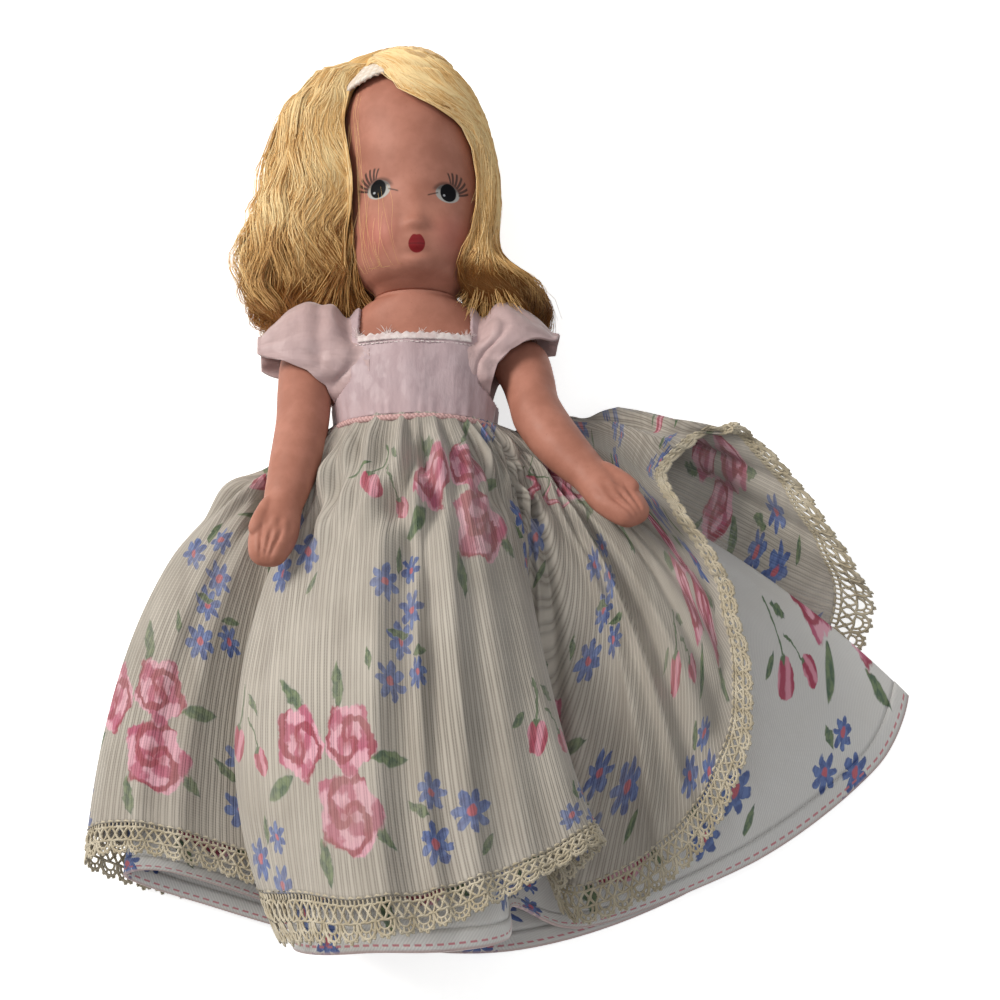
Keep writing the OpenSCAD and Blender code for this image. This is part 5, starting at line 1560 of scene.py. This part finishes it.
# The rounded top of the head that the strands lie over.
CROWN_MIDDLE = np.array([-1.6, 0, SEAM + 20.0])
CROWN_SIZE = np.array([10.7, 12.0, 19.7])
CROWN_POWER = 2.25


def crown_reach(way):
    """How far the crown's surface is from its middle, in each direction."""
    return (np.abs(way / CROWN_SIZE) ** CROWN_POWER).sum(-1, keepdims=True) ** (-1 / CROWN_POWER)


def over_crown(start, stop, thick):
    """Arcs over the top of the head from start to stop points, lying a given distance off it."""
    begin = unit(start - CROWN_MIDDLE)
    end = unit(stop - CROWN_MIDDLE)
    part = (np.arange(ARC_STEPS) / ARC_STEPS)[None, :, None]
    way = begin[:, None] * (1 - part) + end[:, None] * part
    way[..., 2] += 0.25 * np.sin(part[..., 0] * math.pi) * (1 - np.abs(way[..., 2]))
    way = unit(way)
    return CROWN_MIDDLE + way * (crown_reach(way) + thick)


def hair_strands(mass, hugs, count, seed, wave_seed, joint, roots):
    """Strands from the parting over the head to the ends of a mass, in locks that share a wave."""
    base, out, depth = hair_fields(mass, hugs, FIELD_ROWS, FIELD_COLUMNS, -PAST_EDGE, 1 + PAST_EDGE)
    random = np.random.default_rng(seed)
    middle = (np.arange(LOCKS) + random.uniform(0.15, 0.85, LOCKS)) / LOCKS
    middle = {1: 1 - (1 - middle) ** 1.35, -1: middle ** 1.35, 0: middle}[hugs]
    own_phase = random.normal(0, 0.7, LOCKS)
    own_lift = random.normal(0, 0.05, LOCKS)
    own_tone = random.normal(0, 0.11, LOCKS)
    own_end = random.uniform(0.90, 1.07, LOCKS)
    which = random.integers(0, LOCKS, count)
    centre = middle[which][:, None]
    own = random.normal(0, 0.50 / LOCKS, (count, 1))
    stray = random.uniform(0, 1, (count, 1)) < 0.10
    own = np.where(stray, random.normal(0, 0.05, (count, 1)), own)
    limit = PAST_EDGE * random.uniform(0, 1, (count, 1))
    centre = np.where(stray & (hugs != 0), {1: 0.97, -1: 0.02, 0: 0.5}[hugs], centre)
    lift = random.uniform(0.72, 1.02, (count, 1)) + own_lift[which][:, None]
    lift = np.where(stray, lift + random.uniform(0, 0.14, (count, 1)), lift)
    end = own_end[which][:, None] + random.normal(0, 0.025, (count, 1))
    end = np.where(random.uniform(0, 1, (count, 1)) < 0.15, random.uniform(0.6, 0.95, (count, 1)), end)
    step = np.linspace(0, 1, FALL_STEPS)[None, :]
    down = joint + (end - joint) * step
    phase = wave_phase(down, centre, wave_seed) + own_phase[which][:, None]
    swing = 0.030 * np.sin(phase) * np.clip(step * 3, 0, 1)
    own = np.where(stray, own * np.clip(step * 3, 0.1, 1), own * (1 - 0.55 * step ** 2))
    across = centre + own + swing
    beyond = across - np.clip(across, 0, 1)
    across = across - beyond + limit * np.tanh(beyond / np.maximum(limit, 0.001))
    column = (across + PAST_EDGE) / (1 + 2 * PAST_EDGE)
    edges = np.clip(np.minimum(across, 1 - across) / 0.09, 0, 1)
    rise = WIG_GAP + read_grid(depth, down, column) * (lift + 0.08 * np.sin(phase + 1.2))
    rise = rise * (0.50 + 0.50 * np.sqrt(edges * (2 - edges)))
    fall = read_grid(base, down, column) + read_grid(out, down, column) * rise[..., None]
    fall[..., 2] -= np.maximum(down - 1, 0) * 44
    curl = np.clip(step * 6 - 5, 0, 1) * random.normal(0.4, 0.5, (count, 1))
    fall[..., 0] -= curl * np.sign(fall[..., 0]) * 1.2
    frizz = random.normal(0, 0.07, fall.shape) * np.clip(step * 3, 0, 1)[..., None]
    fall = fall + frizz
    root = curve_through(roots, np.clip(centre + own[:, :1], 0, 1)[:, 0] * (len(roots) - 1))
    root = head_point(SEAM + root[:, 0], np.radians(root[:, 1]))
    root = root + random.normal(0, 0.25, (count, 3))
    swell = np.sin(np.linspace(0.25, 1.5, ARC_STEPS))[None, :, None]
    arc = over_crown(root, fall[:, 0], WIG_GAP - 0.3 + 1.9 * lift[..., None] * swell)
    ray = arc - CROWN_MIDDLE
    off = np.linalg.norm(fall[:, 0] - CROWN_MIDDLE, axis=-1) - np.linalg.norm(ray[:, -1], axis=-1)
    ease = (np.arange(ARC_STEPS) / ARC_STEPS)[None, :] ** 1.3 * off[:, None]
    arc = arc + unit(ray) * ease[..., None]
    line = np.concatenate([arc, fall], 1)
    # Tone: random for each strand and lock, with painted shade on strands that lie deeper in the mass and
    # near the edge that hugs the jaw, a painted highlight on the wave crests, and the ends darker. The arcs
    # over the crown are a little lighter.
    tone = 0.62 + 0.13 * random.normal(0, 1, (count, 1)) + own_tone[which][:, None]
    tone = tone + 0.9 * (lift - 0.9)
    near = np.clip(to_jaw(across, hugs), 0, 1) ** 6 * np.clip(down * 2 - 0.9, 0, 1)
    shade = tone + 0.16 * np.sin(phase) - 0.78 * np.clip(down * 3 - 1.85, 0, 1) - 0.3 * near
    shade = np.concatenate([tone + 0.05 * np.ones((1, ARC_STEPS)), shade], 1)
    return lay_down(line), np.clip(shade, 0, 1)


def hair_piece(name, lines, shade, radius):
    """A piece of loose strands, thin at their ends and never below the table."""
    lines[..., 2] = np.maximum(lines[..., 2], 0.0001)
    steps = lines.shape[1]
    taper = np.interp(np.linspace(0, 1, steps), (0, 0.1, 0.8, 1), (0.7, 1, 0.9, 0.25))
    points, faces = tubes(lines, np.broadcast_to(radius * taper, lines.shape[:2]), 3)
    piece = mesh_piece(name, points, faces, shade=np.repeat(shade[..., None], 3, -1))
    dress(piece, strand_finish, "hair", "wigged_head")


hair_pad("hair_left_pad", HAIR_LEFT, 1, 171, "hair_left")
hair_pad("hair_right_pad", HAIR_RIGHT, -1, 173, "hair_right")
hair_pad("hair_back_pad", HAIR_BACK, 0, 175, "hair_back")
# Parting: height above the seam and angle, from one end of each mass to the other.
LEFT_ROOTS = np.array([[38.6, 110], [39.2, 150], [38.6, 185], [37.8, 198], [36.8, 206], [36.0, 211]])
RIGHT_ROOTS = np.array([[36.0, 220], [36.6, 214], [37.6, 208], [38.6, 200], [39.2, 150], [38.6, 110]])
BACK_ROOTS = np.array([[39.2, 62], [39.2, 118]])
for part, mass, hugs, count, seed, wave_seed, joint, roots in (
        ("left_under", HAIR_LEFT, 1, 1400, 71, 171, 0.24, LEFT_ROOTS),
        ("left_over", HAIR_LEFT, 1, 1400, 72, 171, 0.30, LEFT_ROOTS),
        ("right_under", HAIR_RIGHT, -1, 1400, 73, 173, 0.14, RIGHT_ROOTS),
        ("right_over", HAIR_RIGHT, -1, 1400, 74, 173, 0.22, RIGHT_ROOTS),
        ("back", HAIR_BACK, 0, 900, 75, 175, 0.30, BACK_ROOTS)):
    lines, shades = hair_strands(mass, hugs, count, seed, wave_seed, joint, roots)
    hair_piece("hair_" + part + "_strands", lines, shades, STRAND_RADIUS)


# Crown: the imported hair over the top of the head, where the masses are sewn to the cap. It is a
# thin round pad of mohair, and the strands from the parting lie over it.
CROWN_ROWS, CROWN_COLUMNS, CROWN_SPREAD = 40, 120, 0.40
share, around = np.meshgrid(np.linspace(0.02, 1, CROWN_ROWS), turn(CROWN_COLUMNS), indexing="ij")
tilt = share * CROWN_SPREAD
way = np.stack([np.sin(tilt) * np.cos(around), np.sin(tilt) * np.sin(around), np.cos(tilt)], -1)
dome = CROWN_MIDDLE + way * (crown_reach(way) + 2.3 + 0.12 * np.sin(around * 24 + 5 * share)[..., None])
crown = mesh_piece("hair_crown_pad", lay_down(dome), quad_faces(CROWN_ROWS, CROWN_COLUMNS, True),
                   cut_uv(CROWN_ROWS, CROWN_COLUMNS, True, 0.05, 0.015),
                   np.full((CROWN_ROWS, CROWN_COLUMNS), 0.5))
finished(close_ends(crown), "SOLIDIFY", thickness=0.0006, offset=-1)
dress(crown, pad_finish, "hair", "wigged_head", "hair_crown")


# Nape: short mohair sewn to the lower edge of the cap. It hangs beside the neck under each mass,
# where less light reaches it, and closes the gap between hair and neck.
# The tones given are low, as painted shade, darker under the left mass.
for side, part, seed, count, tone, front, low in (
        (1, "nape", 80, 700, 0.20, -2.5, 4), (-1, "nape_right", 82, 520, 0.42, -5.5, 5)):
    random = np.random.default_rng(seed)
    angle = np.radians(random.uniform(148, 212, count))[:, None]
    step = np.linspace(0, 1, 14)[None, :]
    first = head_point(SEAM + random.uniform(9, 15, count), angle[:, 0]) * (1.05, 1.05, 1)
    final = np.stack([random.uniform(-17, -6, count), random.uniform(front, 5, count),
                      SEAM - random.uniform(0, low, count)], -1)
    halfway = np.stack([first[:, 0] * 1.06, first[:, 1] * 0.9 + 0.5, SEAM + random.uniform(3, 7, count)], -1)
    nape = (first[:, None] * ((1 - step) ** 2)[..., None]
            + halfway[:, None] * (2 * step * (1 - step))[..., None]
            + final[:, None] * (step ** 2)[..., None])
    nape += 0.25 * np.sin(step * 9 + angle * 8)[..., None] + random.normal(0, 0.05, nape.shape)
    shades = np.clip(tone + random.normal(0, 0.12, (count, 1)), 0, 1) + 0 * step
    hair_piece("hair_" + part + "_strands", lay_down(nape * (side, 1, 1)), shades, NAPE_RADIUS)


# Loose strands: a few single hairs that have come away from the wig. They lie over the brow and
# the cheek at the left, a little off the paint.
random = np.random.default_rng(81)
count = 18
angle = np.radians(random.uniform(208, 248, count))[:, None]
step = np.linspace(0, 1, 20)[None, :]
drop = random.uniform(8, 30, count)[:, None]
height = SEAM + random.uniform(8, 33, count)[:, None] - drop * step
height = np.maximum(height, SEAM + 2.6)
angle = angle + 0.25 * random.normal(0, 0.6, (count, 1)) * step
angle = angle + 0.05 * np.sin(step * 5 + random.uniform(0, 6, (count, 1)))
loose = head_point(height, angle)
off = 0.5 + random.uniform(0, 1.6, (count, 1)) * np.sin(step * 3.1)
loose = loose + unit(loose * (1, 1, 0)) * off[..., None]
shades = np.clip(0.55 + random.normal(0, 0.15, (count, 1)), 0, 1) + 0 * step
hair_piece("hair_loose_strands", lay_down(loose), shades, LOOSE_RADIUS)
